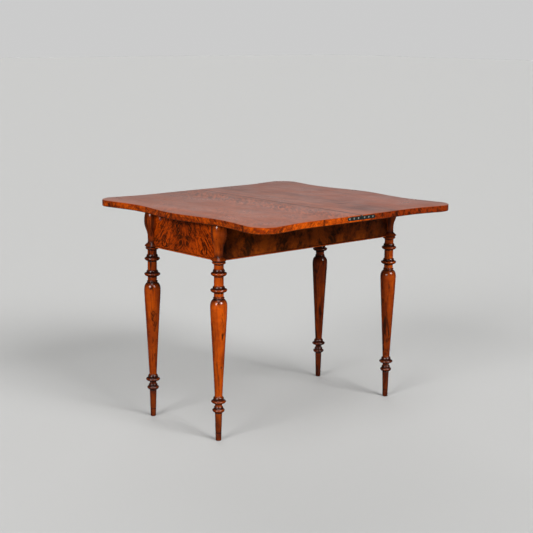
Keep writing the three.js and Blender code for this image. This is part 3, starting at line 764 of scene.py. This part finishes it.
class Turning:
    # stations of a turned form: radius, height and darkening, from the floor up; the darkening is stained
    # colour, dirt in the grooves and painted shade
    def __init__(self, radius, height, stainAndShade):
        self.stations = [(radius, height, stainAndShade)]

    def line(self, radius, height, stainAndShade):
        self.stations.append((radius, height, stainAndShade))

    def curve(self, points, stainAndShade, shadeMidway=0.0):
        # the darkening goes over to the new value along the curve, with painted shade added halfway along it
        startStain = self.stations[-1][2]
        points = [Vector(point) for point in (self.stations[-1][:2], *points)]
        steps = leg["curveSteps"] * (2 if len(points) > 3 else 1)
        for i in range(1, steps + 1):
            share = i / steps
            row = points
            while len(row) > 1:
                row = [a.lerp(b, share) for a, b in zip(row, row[1:])]
            mark = startStain + (stainAndShade - startStain) * share + shadeMidway * 4 * share * (1 - share)
            self.line(row[0].x, row[0].y, mark)

    def bend(self, radius, height, outShare, upShare, stainAndShade):
        start = Vector(self.stations[-1][:2])
        control = (start.x + (radius - start.x) * outShare, start.y + (height - start.y) * upShare)
        self.curve([control, (radius, height)], stainAndShade)

    def groove(self, radius, top, fade, stainAndShade, dark):
        # dark groove under a part that starts at its top, from dirt and painted shade; the neck below it
        # darkens over the fade, painted shade under that part
        groove = leg["groove"]
        self.line(radius, top - groove["height"] - fade, stainAndShade)
        self.line(radius, top - groove["height"], dark)
        self.line(radius - groove["depth"], top - groove["lip"], 1.0)

    def ring(self, ring, edge, below, above, stains):
        # ring over its groove, with a rounded rim, and a cap that eases into the part above it
        rim, low, ledge = leg["rim"], edge - ring["drop"], edge + ring["slope"]
        self.groove(below, low, leg["groove"]["fade"], stains["below"], 0.9)
        # painted shade: the underside of the ring darkens towards its seat
        self.line(ring["seat"], low, 0.85)
        self.bend(ring["radius"], edge - rim["start"], 0.9, 0.3, stains["rim"])
        for inwards, up in rim["round"]:
            self.line(ring["radius"] - inwards, edge + up, stains["rim"])
        inwards, up = rim["end"]
        self.line(ring["radius"] - inwards, edge + up, 0.7)
        self.line(ring["cap"] - leg["groove"]["depth"], ledge, 0.95)
        self.line(ring["cap"], ledge + 0.2, 0.92)
        self.bend(above, ledge + ring["rise"], 0, 0.75, 0.62)
        self.line(above, ledge + ring["rise"] + 0.8, stains["above"])


def legStations():
    foot, groove, neck = leg["foot"], leg["groove"], leg["neck"]
    turning = Turning(foot["radius"] - foot["ease"], 0, 0.75)
    turning.line(foot["radius"], foot["ease"], 0.66)
    slope = (foot["ankle"] - foot["radius"]) / leg["ankleRing"]["up"]
    for up, stainAndShade, depth in leg["markLine"]:
        height = foot["mark"] + up
        turning.line(foot["radius"] + slope * height - depth, height, stainAndShade)
    taper = leg["taper"]
    for name, below, above in (("ankleRing", foot["ankle"], leg["waist"]),
                               ("calfRing", leg["waist"], taper["low"])):
        turning.ring(leg[name], leg[name]["up"], below, above, legStains[name])
    start, top = turning.stations[-1][1], standTop - taper["down"]
    handles = [(taper["low"] + (taper["top"] - taper["low"]) * out, start + (top - start) * up)
               for out, up in taper["handles"]]
    turning.curve([*handles, (taper["top"], top)], 0.1)
    turning.bend(leg["shoulder"]["radius"], standTop - leg["shoulder"]["down"], 0, 0.75, 0.8)
    bead = leg["bead"]
    beadTop = standTop - bead["down"]
    turning.line(bead["seat"], beadTop - bead["height"], 1.0)
    turning.line(bead["radius"], beadTop - bead["height"] / 2, 0.6)
    turning.line(neck, beadTop, 0.85)
    turning.line(neck, beadTop + groove["height"], 0.25)
    for name in ("thirdRing", "secondRing"):
        turning.ring(leg[name], standTop - leg[name]["down"], neck, neck, legStains["high"])
    collar, topRing, baluster = leg["collar"], leg["topRing"], leg["baluster"]
    collarTop = standTop - collar["down"]
    # the groove under the collar, with a wider band of painted shade below it
    turning.groove(neck, collarTop - collar["height"], collar["fade"], legStains["high"]["below"], 0.95)
    turning.bend(collar["radius"], collarTop - groove["height"], 1, 0, 0.18)
    topEdge = standTop - topRing["down"]
    neckLow = topEdge + topRing["slope"]
    # black in the groove under the top ring, from dirt and painted shade
    turning.line(topRing["seat"] - groove["depth"], topEdge - topRing["drop"], 1.0)
    turning.line(topRing["radius"], topEdge, 0.35)
    turning.line(baluster["neck"], neckLow, 0.8)
    neckTop, swellTop = standTop - baluster["neckDown"], standTop - baluster["swellDown"]
    between = (neckTop + swellTop) / 2
    neck, swell = baluster["neck"], baluster["swell"]
    turning.curve([(neck - 0.6, neckLow + 6), (neck, neckTop)], 0.2)
    # painted shade: the baluster darkens halfway up between its neck and its swell
    turning.curve([(neck + 0.2, between - 2), (swell - 0.6, between - 2),
                   (swell, swellTop - 10), (swell, swellTop)], 0.06, 0.16)
    turning.curve([(swell, swellTop + 12), (baluster["top"], standTop)], 0.5)
    return turning.stations


def stainAndShadeAt(stations, height):
    for (_, low, lowStain), (_, high, highStain) in zip(stations, stations[1:]):
        if low <= height <= high and high > low:
            return lowStain + (highStain - lowStain) * (height - low) / (high - low)
    return stations[-1][2] if height > stations[0][1] else stations[0][2]


def toneAndShadeAt(node, height):
    turnLow, turnHigh = legToneAndShade["heights"]
    lowDarkening, highDarkening = legToneAndShade[node]
    return lowDarkening + (highDarkening - lowDarkening) * min(max((height - turnLow) / (turnHigh - turnLow), 0), 1)


def makeLegs():
    stations = legStations()
    master = turnUp(stations, leg["sides"])
    applyBevel(master, leg["softening"], 2, angle=28)
    markPoints(master, "stainAndShade", lambda place: stainAndShadeAt(stations, place.z / mm))
    smooth(master, 50)
    for turn, node in enumerate(legNames):
        piece = copyOf(master)
        piece.location = (*middle(node).xy, 0)
        piece.rotation_euler = (0, 0, math.radians(leg["figureTurn"] * turn))
        applyPlace(piece)
        # each leg's darkening by height, partly its own tone and partly painted shade
        markPoints(piece, "depth", lambda place: toneAndShadeAt(node, place.z / mm))
        finishPiece(piece, "turned_" + node, "stand", node, "leg")
    bpy.data.objects.remove(master)


makeLegs()
print("legs turned")


# Aprons

def makeApron(node, turn):
    # apron along X with its outer face towards -Y, mitred at both ends, then turned to its side
    bottom, top = (corner.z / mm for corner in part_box(node))
    legX, legY = (abs(way) / mm for way in middle(legNames[0]).xy)
    half, away = (legX, legY) if turn % 2 == 0 else (legY, legX)
    outer, inner = -away - apron["proud"], -away - apron["proud"] + apron["thickness"]
    piece = addBlock((-half, outer, bottom), (half, inner, top))
    editPiece(piece)
    for side in (-1, 1):
        for edge, shift in ((outer, apron["proud"]), (inner, apron["proud"] - apron["thickness"])):
            pick(piece, "VERT", lambda v: v.co.x * side > 0 and abs(v.co.y - edge * mm) < 0.1 * mm)
            bpy.ops.transform.translate(value=(side * shift * mm, 0, 0))
    beadTop = (bottom + apron["beadHeight"]) * mm
    bpy.ops.mesh.select_all(action="SELECT")
    bpy.ops.mesh.bisect(plane_co=(0, 0, beadTop), plane_no=(0, 0, 1))
    pick(piece, "FACE", lambda f: f.normal.y < -0.9 and f.calc_center_median().z < beadTop)
    bpy.ops.mesh.extrude_region_move(
        TRANSFORM_OT_translate={"value": (0, -apron["beadOut"] * mm, 0)})
    front = (outer - apron["beadOut"]) * mm
    pick(piece, "EDGE", lambda e: all(abs(v.co.y - front) < 0.05 * mm for v in e.verts)
         and abs(e.verts[0].co.z - e.verts[1].co.z) < 0.01 * mm)
    bpy.ops.mesh.bevel(offset=apron["beadOut"] * mm * apron["beadRound"],
                       segments=apron["beadSteps"], affect="EDGES")
    leaveEdit()
    axis = "XY"[turn % 2]
    addFinishes(piece, "apron" + axis, "bead", "board" + axis)
    for face in piece.data.polygons:
        if face.center.z < beadTop and face.center.y < (outer + 1) * mm:
            face.material_index = 1
        elif face.normal.y > 0.5 or abs(face.normal.z) > 0.9:
            face.material_index = 2
    applyBevel(piece, apron["arris"] / 3, 2, angle=60)
    piece.rotation_euler = (0, 0, turn * math.pi / 2)
    applyPlace(piece)
    smooth(piece)
    finishPiece(piece, "veneered_" + node, "stand", node)


for turn, node in enumerate(["apron_front", "apron_right", "apron_back", "apron_left"]):
    makeApron(node, turn)
print("aprons made")


# Hinges

hinge = {
    "joint": 0.4, "endReach": 422, "gap": 0.3,
    "pinDepth": 2.5, "pinSpan": 5.8, "pinRadius": 1, "bore": 1.1, "eyeRadius": 2.1,
    "linkThickness": 1.5, "layerGap": 0.2, "strapThickness": 3.4,
    "strapLength": 64, "strapHeight": 12, "strapDepth": 3.3, "arris": 0.25,
    "pinArris": 0.3, "screwShares": (0.22, 0.53, 0.84), "roundSteps": 8,
}
linkZone = hinge["pinSpan"] / 2 + hinge["eyeRadius"] + hinge["gap"]
linkFloor = -hinge["pinDepth"] - hinge["eyeRadius"] - hinge["gap"]


def toEdge(piece, side, end):
    # from the drawing plane of a hinge (along the edge, up, inwards) to its place on a leaf's end
    reach = end * hinge["endReach"] * mm
    place = Matrix(((side, 0, 0, 0), (0, 0, -end, reach), (0, 1, 0, tableTop * mm), (0, 0, 0, 1)))
    piece.data.transform(place)
    faceOutwards(piece)
    return piece


def strapKnots(edge, grow, notch):
    # outline of a strap, seen from outside; grown by a gap it is its recess
    high = grow - hinge["strapDepth"]
    low = -hinge["strapDepth"] - hinge["strapHeight"] - grow
    centre = (hinge["strapLength"] - hinge["strapHeight"] / 2, (high + low) / 2)
    start = [cornerKnot(edge, high)]
    if notch:
        start = [cornerKnot(x, y) for x, y in ((edge, linkFloor), (linkZone, linkFloor), (linkZone, high))]
    return [cornerKnot(edge, low), *start,
            *arcKnots(centre, (high - low) / 2, math.pi / 2, -math.pi / 2)]


def cutHole(piece, radius, centre, low, high, sides=32):
    combine(piece, addRod(radius, low, high, centre, sides), "DIFFERENCE")


# the strap, plate and stop have their own screws; turns is how far the next one's slot is turned
strapScrew = {"head": 3.1, "neck": 1.6, "rim": 0.4, "cone": 2.2, "length": 16, "slot": 0.8, "turns": 31}
plateScrew = {"head": 3.4, "neck": 1.8, "rim": 0.3, "cone": 2.2, "length": 16, "slot": 0.9, "turns": 47}
stopScrew = {"head": 3.6, "neck": 1.9, "rim": 0.3, "cone": 2.4, "length": 28, "slot": 0.9, "turns": 23}
screwShape = {"sides": 36, "holeGap": 0.15, "arris": 0.15, "tip": 0.4, "tipShare": 0.8, "tipLength": 4}


def turnScrew(screw, gap=0.0, lift=0.0):
    # countersunk screw with its head at zero height and its tip below
    neck, head, low = screw["neck"] + gap, screw["head"] + gap, -screw["length"]
    tipLength = screwShape["tipLength"]
    return turnUp([
        (screwShape["tip"], low), (screw["neck"] * screwShape["tipShare"], low + tipLength / 2),
        (neck, low + tipLength), (neck, -screw["cone"]), (head, -screw["rim"]), (head, lift),
    ], screwShape["sides"])


def makeScrewMaster(screw):
    master = turnScrew(screw)
    applyBevel(master, screwShape["arris"], 2, angle=30)
    reach = screw["head"] + 1
    combine(master, addBlock((-reach, -screw["slot"] / 2, -screw["slot"]),
                             (reach, screw["slot"] / 2, 1)), "DIFFERENCE")
    smooth(master, 30)
    return master


def cutScrewHole(piece, screw, point):
    # countersunk hole for a screw that goes in upwards at a point in metres
    hole = turnScrew(screw, screwShape["holeGap"], 1)
    hole.rotation_euler = (math.pi, 0, 0)
    hole.location = point
    combine(piece, applyPlace(hole), "DIFFERENCE")


def placeScrew(master, node, body, point, turn, tilt):
    # a copy of the screw with its head at a point in metres
    piece = copyOf(master)
    piece.data.transform(Matrix.Rotation(math.radians(turn), 4, "Z"))
    piece.rotation_euler = (tilt, 0, 0)
    piece.location = point
    applyPlace(piece)
    finishPiece(piece, "slotted_" + node, body, node, "screw")


def makeStrap(node, body, side, end):
    thickness, radius, steps = hinge["strapThickness"], hinge["eyeRadius"], hinge["roundSteps"]
    plate = slabFrom(strapKnots(hinge["joint"], 0, True), 0, thickness, steps)
    applyBevel(plate, hinge["arris"], 2, angle=50)
    centre = (hinge["pinSpan"] / 2, -hinge["pinDepth"])
    web = linkFloor - radius
    eye = [cornerKnot(centre[0] - radius, web), cornerKnot(centre[0] + radius, web),
           *arcKnots(centre, radius, 0, math.pi)]
    combine(plate, slabFrom(eye, hinge["linkThickness"] + hinge["layerGap"], thickness, steps), "UNION")
    cutHole(plate, hinge["bore"], centre, -1, thickness + 1)
    height = -hinge["strapDepth"] - hinge["strapHeight"] / 2
    for share in hinge["screwShares"]:
        cutScrewHole(plate, strapScrew, (hinge["strapLength"] * share * mm, height * mm, 0))
    toEdge(plate, side, end)
    smooth(plate, 30)
    finishPiece(plate, "cut_" + node, body, node, "strap")


def makeLink(end, endName):
    half, radius, depth = hinge["pinSpan"] / 2, hinge["eyeRadius"], hinge["pinDepth"]
    knots = arcKnots((half, -depth), radius, -math.pi / 2, math.pi / 2)
    knots += arcKnots((-half, -depth), radius, math.pi / 2, 3 * math.pi / 2)
    link = slabFrom(knots, 0, hinge["linkThickness"], hinge["roundSteps"])
    applyBevel(link, hinge["arris"], 2, angle=50)
    for side in (-1, 1):
        cutHole(link, hinge["bore"], (side * half, -depth), -1, hinge["linkThickness"] + 1)
    toEdge(link, 1, end)
    smooth(link, 30)
    finishPiece(link, "hinge_side_link_" + endName, "hinge_links",
                "hinge_link_" + endName, "strap")
    for side, leafName in ((-1, "lower"), (1, "upper")):
        pin = addRod(hinge["pinRadius"], 0, hinge["strapThickness"], (side * half, -depth), sides=32)
        applyBevel(pin, hinge["pinArris"], 3, angle=50)
        toEdge(pin, 1, end)
        smooth(pin, 30)
        node = f"hinge_pin_{leafName}_{endName}"
        finishPiece(pin, "round_" + node, "hinge_links", node, "screw")


def makeHinges():
    master = makeScrewMaster(strapScrew)
    screwHeight = tableTop - hinge["strapDepth"] - hinge["strapHeight"] / 2
    for endName, end in ends.items():
        for leafName, side in (("lower", -1), ("upper", 1)):
            body = leafName + "_leaf"
            makeStrap(f"{leafName}_strap_{endName}", body, side, end)
            for i, share in enumerate(hinge["screwShares"], 1):
                point = Vector((side * hinge["strapLength"] * share, end * hinge["endReach"], screwHeight))
                placeScrew(master, f"{leafName}_strap_screw_{endName}_{i}", body, point * mm,
                           strapScrew["turns"] * (i + 2 * side), -end * math.pi / 2)
        makeLink(end, endName)
    bpy.data.objects.remove(master)


makeHinges()
print("hinges made")


# Pivot, stop and the boards of the stand

pivot = {"plateRadius": 30, "plateThickness": 3, "studRadius": 6, "gap": 0.3,
         "plateArris": 0.4, "nutArris": 0.5, "sides": 72, "holeSides": 48}
pivotCentre = tuple(way / mm for way in middle("pivot_washer").xy)


def underScrews(name, count, height):
    # the nodes of the screws under the lower leaf, each with the place of its head
    nodes = [f"{name}_screw_{i}" for i in range(1, count + 1)]
    return [(node, (*middle(node).xy, height)) for node in nodes]


plateScrews = underScrews("pivot_plate", 4, leafUnder * mm)
stopScrews = underScrews("swivel_stop", 2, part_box("swivel_stop")[0].z)


def makePivot():
    plateLow, plateHigh = (corner.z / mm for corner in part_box("pivot_plate"))
    disc = addRod(pivot["plateRadius"], leafUnder, plateHigh, pivotCentre, pivot["sides"])
    applyBevel(disc, pivot["plateArris"], 2)
    combine(disc, addRod(pivot["studRadius"], plateLow, plateHigh - 1, pivotCentre), "UNION")
    for _, point in plateScrews:
        cutScrewHole(disc, plateScrew, point)
    smooth(disc, 30)
    finishPiece(disc, "pivot_stud_plate", "lower_leaf", "pivot_plate", "iron")
    for node, look, body, sides in (("pivot_nut", "hexagon_", "lower_leaf", 6),
                                    ("pivot_washer", "round_", "stand", 64)):
        low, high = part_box(node)
        ring = addRod((high.x - low.x) / 2 / mm, low.z / mm, high.z / mm, pivotCentre, sides)
        if sides == 6:
            editAll(ring)
            bpy.ops.transform.rotate(value=math.pi / 6, orient_axis="Z",
                                     center_override=(pivotCentre[0] * mm, pivotCentre[1] * mm, 0))
            leaveEdit()
        applyBevel(ring, pivot["nutArris"], 2)
        cutHole(ring, pivot["studRadius"] + pivot["gap"], pivotCentre,
                low.z / mm - 1, high.z / mm + 1, pivot["holeSides"])
        smooth(ring, 30)
        finishPiece(ring, look + node, body, node, "iron")


def makeUnderScrews():
    for screw, places in ((plateScrew, plateScrews), (stopScrew, stopScrews)):
        master = makeScrewMaster(screw)
        for i, (node, point) in enumerate(places, 1):
            placeScrew(master, node, "lower_leaf", point, screw["turns"] * i, math.pi)
        bpy.data.objects.remove(master)


boards = {
    "well_divider": ("stand", "boardY"),
    "well_floor": ("stand", "boardX"),
    "well_ledge_front": ("stand", "boardX"),
    "well_ledge_back": ("stand", "boardX"),
    "well_ledge_side": ("stand", "boardY"),
    "swivel_stop": ("lower_leaf", "boardX"),
}
boardArris = 0.8


def makeBoards():
    for node, (body, finish) in boards.items():
        low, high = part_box(node)
        board = addBlock(low / mm, high / mm)
        applyBevel(board, boardArris, 2)
        if node == "swivel_stop":
            for _, point in stopScrews:
                cutScrewHole(board, stopScrew, point)
        smooth(board)
        finishPiece(board, "planed_" + node, body, node, finish)
    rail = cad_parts["pivot_rail"]
    addFinishes(rail, "boardY")


makePivot()
makeUnderScrews()
makeBoards()
print("pivot and boards made")


# Leaves

leaf = {
    "crown": 455, "endReach": 422, "hollow": 25.5, "hollowShare": 0.524,
    "endHollow": 1.8, "endHollowShare": 0.516, "cornerBack": 5, "cornerRadius": 60,
    "flareTurn": 0.15, "handleShare": 0.36, "straight": 70,
    "arris": 2, "arrisSteps": 4, "jointShare": 0.4, "curveSteps": 20, "markSteps": 60,
    "cutPast": 2,
}


def knotsThrough(places):
    # knots at places that each have the direction of the outline there, in radians
    knots = [[place, place, place] for place, _ in places]
    for (start, leaving), (finish, arriving), knot, following in zip(places, places[1:], knots, knots[1:]):
        handle = (Vector(finish) - Vector(start)).length * leaf["handleShare"]
        knot[2] = (start[0] + handle * math.cos(leaving), start[1] + handle * math.sin(leaving))
        following[1] = (finish[0] - handle * math.cos(arriving), finish[1] - handle * math.sin(arriving))
    return knots


def leafKnots():
    # outline of the leaf from the joint at the front, round the crown, to the joint at the back
    radius, flare, reach = leaf["cornerRadius"], leaf["flareTurn"], leaf["endReach"]
    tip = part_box("upper_leaf")[1].y / mm
    corner = (leaf["crown"] - leaf["cornerBack"] - radius, tip - radius)
    arc = arcKnots(corner, radius, -flare, math.pi / 2 + flare)
    crown, *side = knotsThrough([
        ((leaf["crown"], 0), math.pi / 2),
        ((leaf["crown"] - leaf["hollow"], reach * leaf["hollowShare"]), math.pi / 2),
        (arc[0][0], math.pi / 2 - flare)])
    end = knotsThrough([
        (arc[-1][0], math.pi + flare),
        ((leaf["crown"] * leaf["endHollowShare"], reach - leaf["endHollow"]), math.pi),
        ((leaf["straight"], reach), math.pi)])
    side[-1][2], end[0][1] = arc[0][2], arc[-1][1]
    crown[1] = (crown[0][0], -crown[2][1])
    far = [*side, *arc[1:-1], *end, cornerKnot(hinge["joint"], reach)]
    near = [[(p[0], -p[1]), (a[0], -a[1]), (b[0], -b[1])] for p, b, a in reversed(far)]
    return [*near, crown, *far]


def markAlong(slab, knots, side):
    # gives each point its way along the outline, from the middle of the crown
    line = [Vector((0, 0, 0))]
    for (start, _, leaving), (finish, arriving, _) in zip(knots, knots[1:]):
        corners = [Vector((*point, 0)) for point in (start, leaving, arriving, finish)]
        line += mathutils.geometry.interpolate_bezier(*corners, leaf["markSteps"])[1:]
    line[0] = Vector((*knots[0][0], 0))
    ways = [0]
    for start, finish in zip(line, line[1:]):
        ways.append(ways[-1] + (finish - start).length)
    tree = mathutils.kdtree.KDTree(len(line))
    for i, point in enumerate(line):
        tree.insert(point, i)
    tree.balance()

    def wayAt(place):
        here = Vector((side * place.x, side * place.y, 0)) / mm
        i = tree.find(here)[1]
        ahead = (line[min(i + 1, len(line) - 1)] - line[max(i - 1, 0)]).normalized()
        return (ways[i] + (here - line[i]).dot(ahead) - ways[-1] / 2) * mm

    markPoints(slab, "along", wayAt)


def makeLeaf(node, side, underFinish):
    # the hinge and pivot recesses are cut into the square slab, then its marked edges are rounded
    knots = leafKnots()
    slab = slabFrom(knots, leafUnder, tableTop, leaf["curveSteps"])
    share = slab.data.attributes.new("bevel_weight_edge", "FLOAT", "EDGE")
    for edge in slab.data.edges:
        start, finish = (slab.data.vertices[i].co for i in edge.vertices)
        if abs(start.z - finish.z) < 0.01 * mm:
            share.data[edge.index].value = leaf["jointShare"] if max(start.x, finish.x) < mm else 1
    if side < 0:
        slab.rotation_euler = (0, 0, math.pi)
        applyPlace(slab)
    gap, past = hinge["gap"], leaf["cutPast"]
    edge, depth = hinge["joint"] - past, hinge["strapThickness"] + gap
    for end in ends.values():
        recess = slabFrom(strapKnots(edge, gap, False), -past, depth, hinge["roundSteps"])
        combine(slab, toEdge(recess, side, end), "DIFFERENCE")
        notch = addBlock((edge, -hinge["strapDepth"] - gap, -past), (linkZone + gap, past, depth))
        combine(slab, toEdge(notch, side, end), "DIFFERENCE")
    if side < 0:
        recess = addRod(pivot["plateRadius"] + gap, leafUnder - past,
                        leafUnder + pivot["plateThickness"] + gap, pivotCentre, pivot["sides"])
        combine(slab, recess, "DIFFERENCE")
    editAll(slab)
    bpy.ops.mesh.fill_holes(sides=4)
    leaveEdit()
    applyBevel(slab, leaf["arris"], leaf["arrisSteps"], limit="WEIGHT")
    addFinishes(slab, "playing", "edge", underFinish)
    for face in slab.data.polygons:
        face.material_index = 1 if abs(face.normal.z) < 0.5 else (0 if face.normal.z > 0 else 2)
    markAlong(slab, knots, side)
    smooth(slab, 30)
    finishPiece(slab, "serpentine_" + node, node, node)


makeLeaf("lower_leaf", -1, "underside")
makeLeaf("upper_leaf", 1, "show")
print("leaves made")


# Floor, light and camera

studio = {
    "floorSize": 90, "floorDrop": 0.0004,
    "floorColour": (0.593, 0.593, 0.584, 1), "bounceColour": (0.21, 0.21, 0.21, 1),
    "reflectedFloor": (0.025, 0.025, 0.025, 1),
    "backdrop": 0.6, "fill": 0.12, "reflected": 0.02, "reflectedBackdrop": 0.33,
    "wallEdge": (0.84, 0.95), "wallRise": (0.11, 0.17), "wallShares": (0.85, 1.35),
}
# the azimuth is counted to the left of the camera; a level of 1 shows white as white
lamps = {
    "left": {"azimuth": 33, "elevation": 24, "width": 26, "level": 0.5, "glints": True},
    "right": {"azimuth": -45, "elevation": 32, "width": 28, "level": 0.74, "glints": True},
    "above": {"azimuth": -10, "elevation": 72, "width": 40, "level": 0.2, "glints": True},
    "back": {"azimuth": 172, "elevation": 26, "width": 40, "level": 0.26, "glints": False},
}
lampDistance = 5
camera = {
    "place": (-2.961, -3.261, 1.334), "yaw": -41.9, "pitch": 10.52, "roll": 0.52,
    "lens": 85.85, "sensor": 36, "shiftY": -0.0043,
}


def addFloor():
    clearSelection()
    bpy.ops.mesh.primitive_plane_add(size=studio["floorSize"], location=(0, 0, -studio["floorDrop"]))
    floor = named(applyPlace(bpy.context.object), "studio_floor")
    finish, nodes, shader, _ = newFinish("studioFloor", {"Roughness": 0.9, "Specular IOR Level": 0.2})
    path = nodes.outputs(nodes.add("ShaderNodeLightPath"))
    colour = nodes.mix(path["Is Glossy Ray"], studio["bounceColour"], studio["reflectedFloor"])
    colour = nodes.mix(path["Is Camera Ray"], colour, studio["floorColour"])
    nodes.put(shader.inputs["Base Color"], colour)
    below = nodes.value("ShaderNodeNewGeometry", output="Backfacing")
    nodes.put(shader.inputs["Alpha"], 1.0 - below)  # seen through from below
    floor.data.materials.append(finish)


def addWorld():
    # even pale background; in reflections it is a pale wall behind the table in a dimmer room
    world = bpy.data.worlds.new("studioWorld")
    world.use_nodes = True
    bpy.context.scene.world = world
    world.node_tree.nodes.clear()
    nodes = Nodes(world.node_tree)
    path = nodes.outputs(nodes.add("ShaderNodeLightPath"))
    way = nodes.value("ShaderNodeTexCoord", output="Generated")
    yaw = math.radians(camera["yaw"])
    behind = (-math.sin(yaw), math.cos(yaw), 0)
    facing = nodes.value("ShaderNodeVectorMath", {0: way, 1: behind}, "Value", operation="DOT_PRODUCT")
    low, high = (share * studio["reflectedBackdrop"] for share in studio["wallShares"])
    wallLevel = nodes.parts(way)[2].range(*studio["wallRise"], low, high)
    wall = facing.range(*studio["wallEdge"], studio["reflected"], wallLevel)
    seen = path["Is Camera Ray"] * (studio["backdrop"] - studio["fill"])
    mirrored = path["Is Glossy Ray"] * (wall - studio["fill"])
    background = nodes.value("ShaderNodeBackground", {
        "Color": (1, 1, 1, 1), "Strength": seen + mirrored + studio["fill"]})
    nodes.add("ShaderNodeOutputWorld", {"Surface": background})


def addLamp(name, lamp, glints, leaves):
    # far soft lamp, either for the colours or for the glints on the polish
    toCamera = Vector(camera["place"])
    turn = math.atan2(toCamera.y, toCamera.x) - math.radians(lamp["azimuth"])
    rise = math.radians(lamp["elevation"])
    away = Vector((math.cos(turn) * math.cos(rise), math.sin(turn) * math.cos(rise), math.sin(rise)))
    bpy.ops.object.light_add(type="SUN", location=away * lampDistance)
    light = bpy.context.object
    light.name = name
    light.data.energy = lamp["level"] * math.pi
    light.data.angle = math.radians(lamp["width"])
    light.rotation_euler = (-away).to_track_quat("-Z", "Y").to_euler()
    light.visible_glossy = glints
    light.visible_diffuse = not glints
    if glints:
        light.light_linking.receiver_collection = leaves


def addLamps():
    # the wide flat leaves are left out of the glints, which would whiten a whole top seen from behind
    leaves = bpy.data.collections.new("leavesWithoutGlints")
    for name in ("serpentine_lower_leaf", "serpentine_upper_leaf"):
        leaves.objects.link(bpy.data.objects[name])
    for entry in leaves.collection_objects:
        entry.light_linking.link_state = "EXCLUDE"
    for name, lamp in lamps.items():
        addLamp("lamp_" + name, lamp, False, leaves)
        if lamp["glints"]:
            addLamp("glint_" + name, lamp, True, leaves)


def addCamera():
    turn = Euler((math.radians(90 - camera["pitch"]), 0, math.radians(camera["yaw"]))).to_matrix()
    turn = turn @ Matrix.Rotation(math.radians(camera["roll"]), 3, "Z")
    bpy.ops.object.camera_add(location=camera["place"], rotation=turn.to_euler())
    eye = bpy.context.object
    eye.data.lens = camera["lens"]
    eye.data.sensor_width = camera["sensor"]
    eye.data.shift_y = camera["shiftY"]
    bpy.context.scene.camera = eye


addFloor()
addWorld()
addLamps()
addCamera()
bpy.context.scene.view_settings.view_transform = "Standard"
print("studio set")
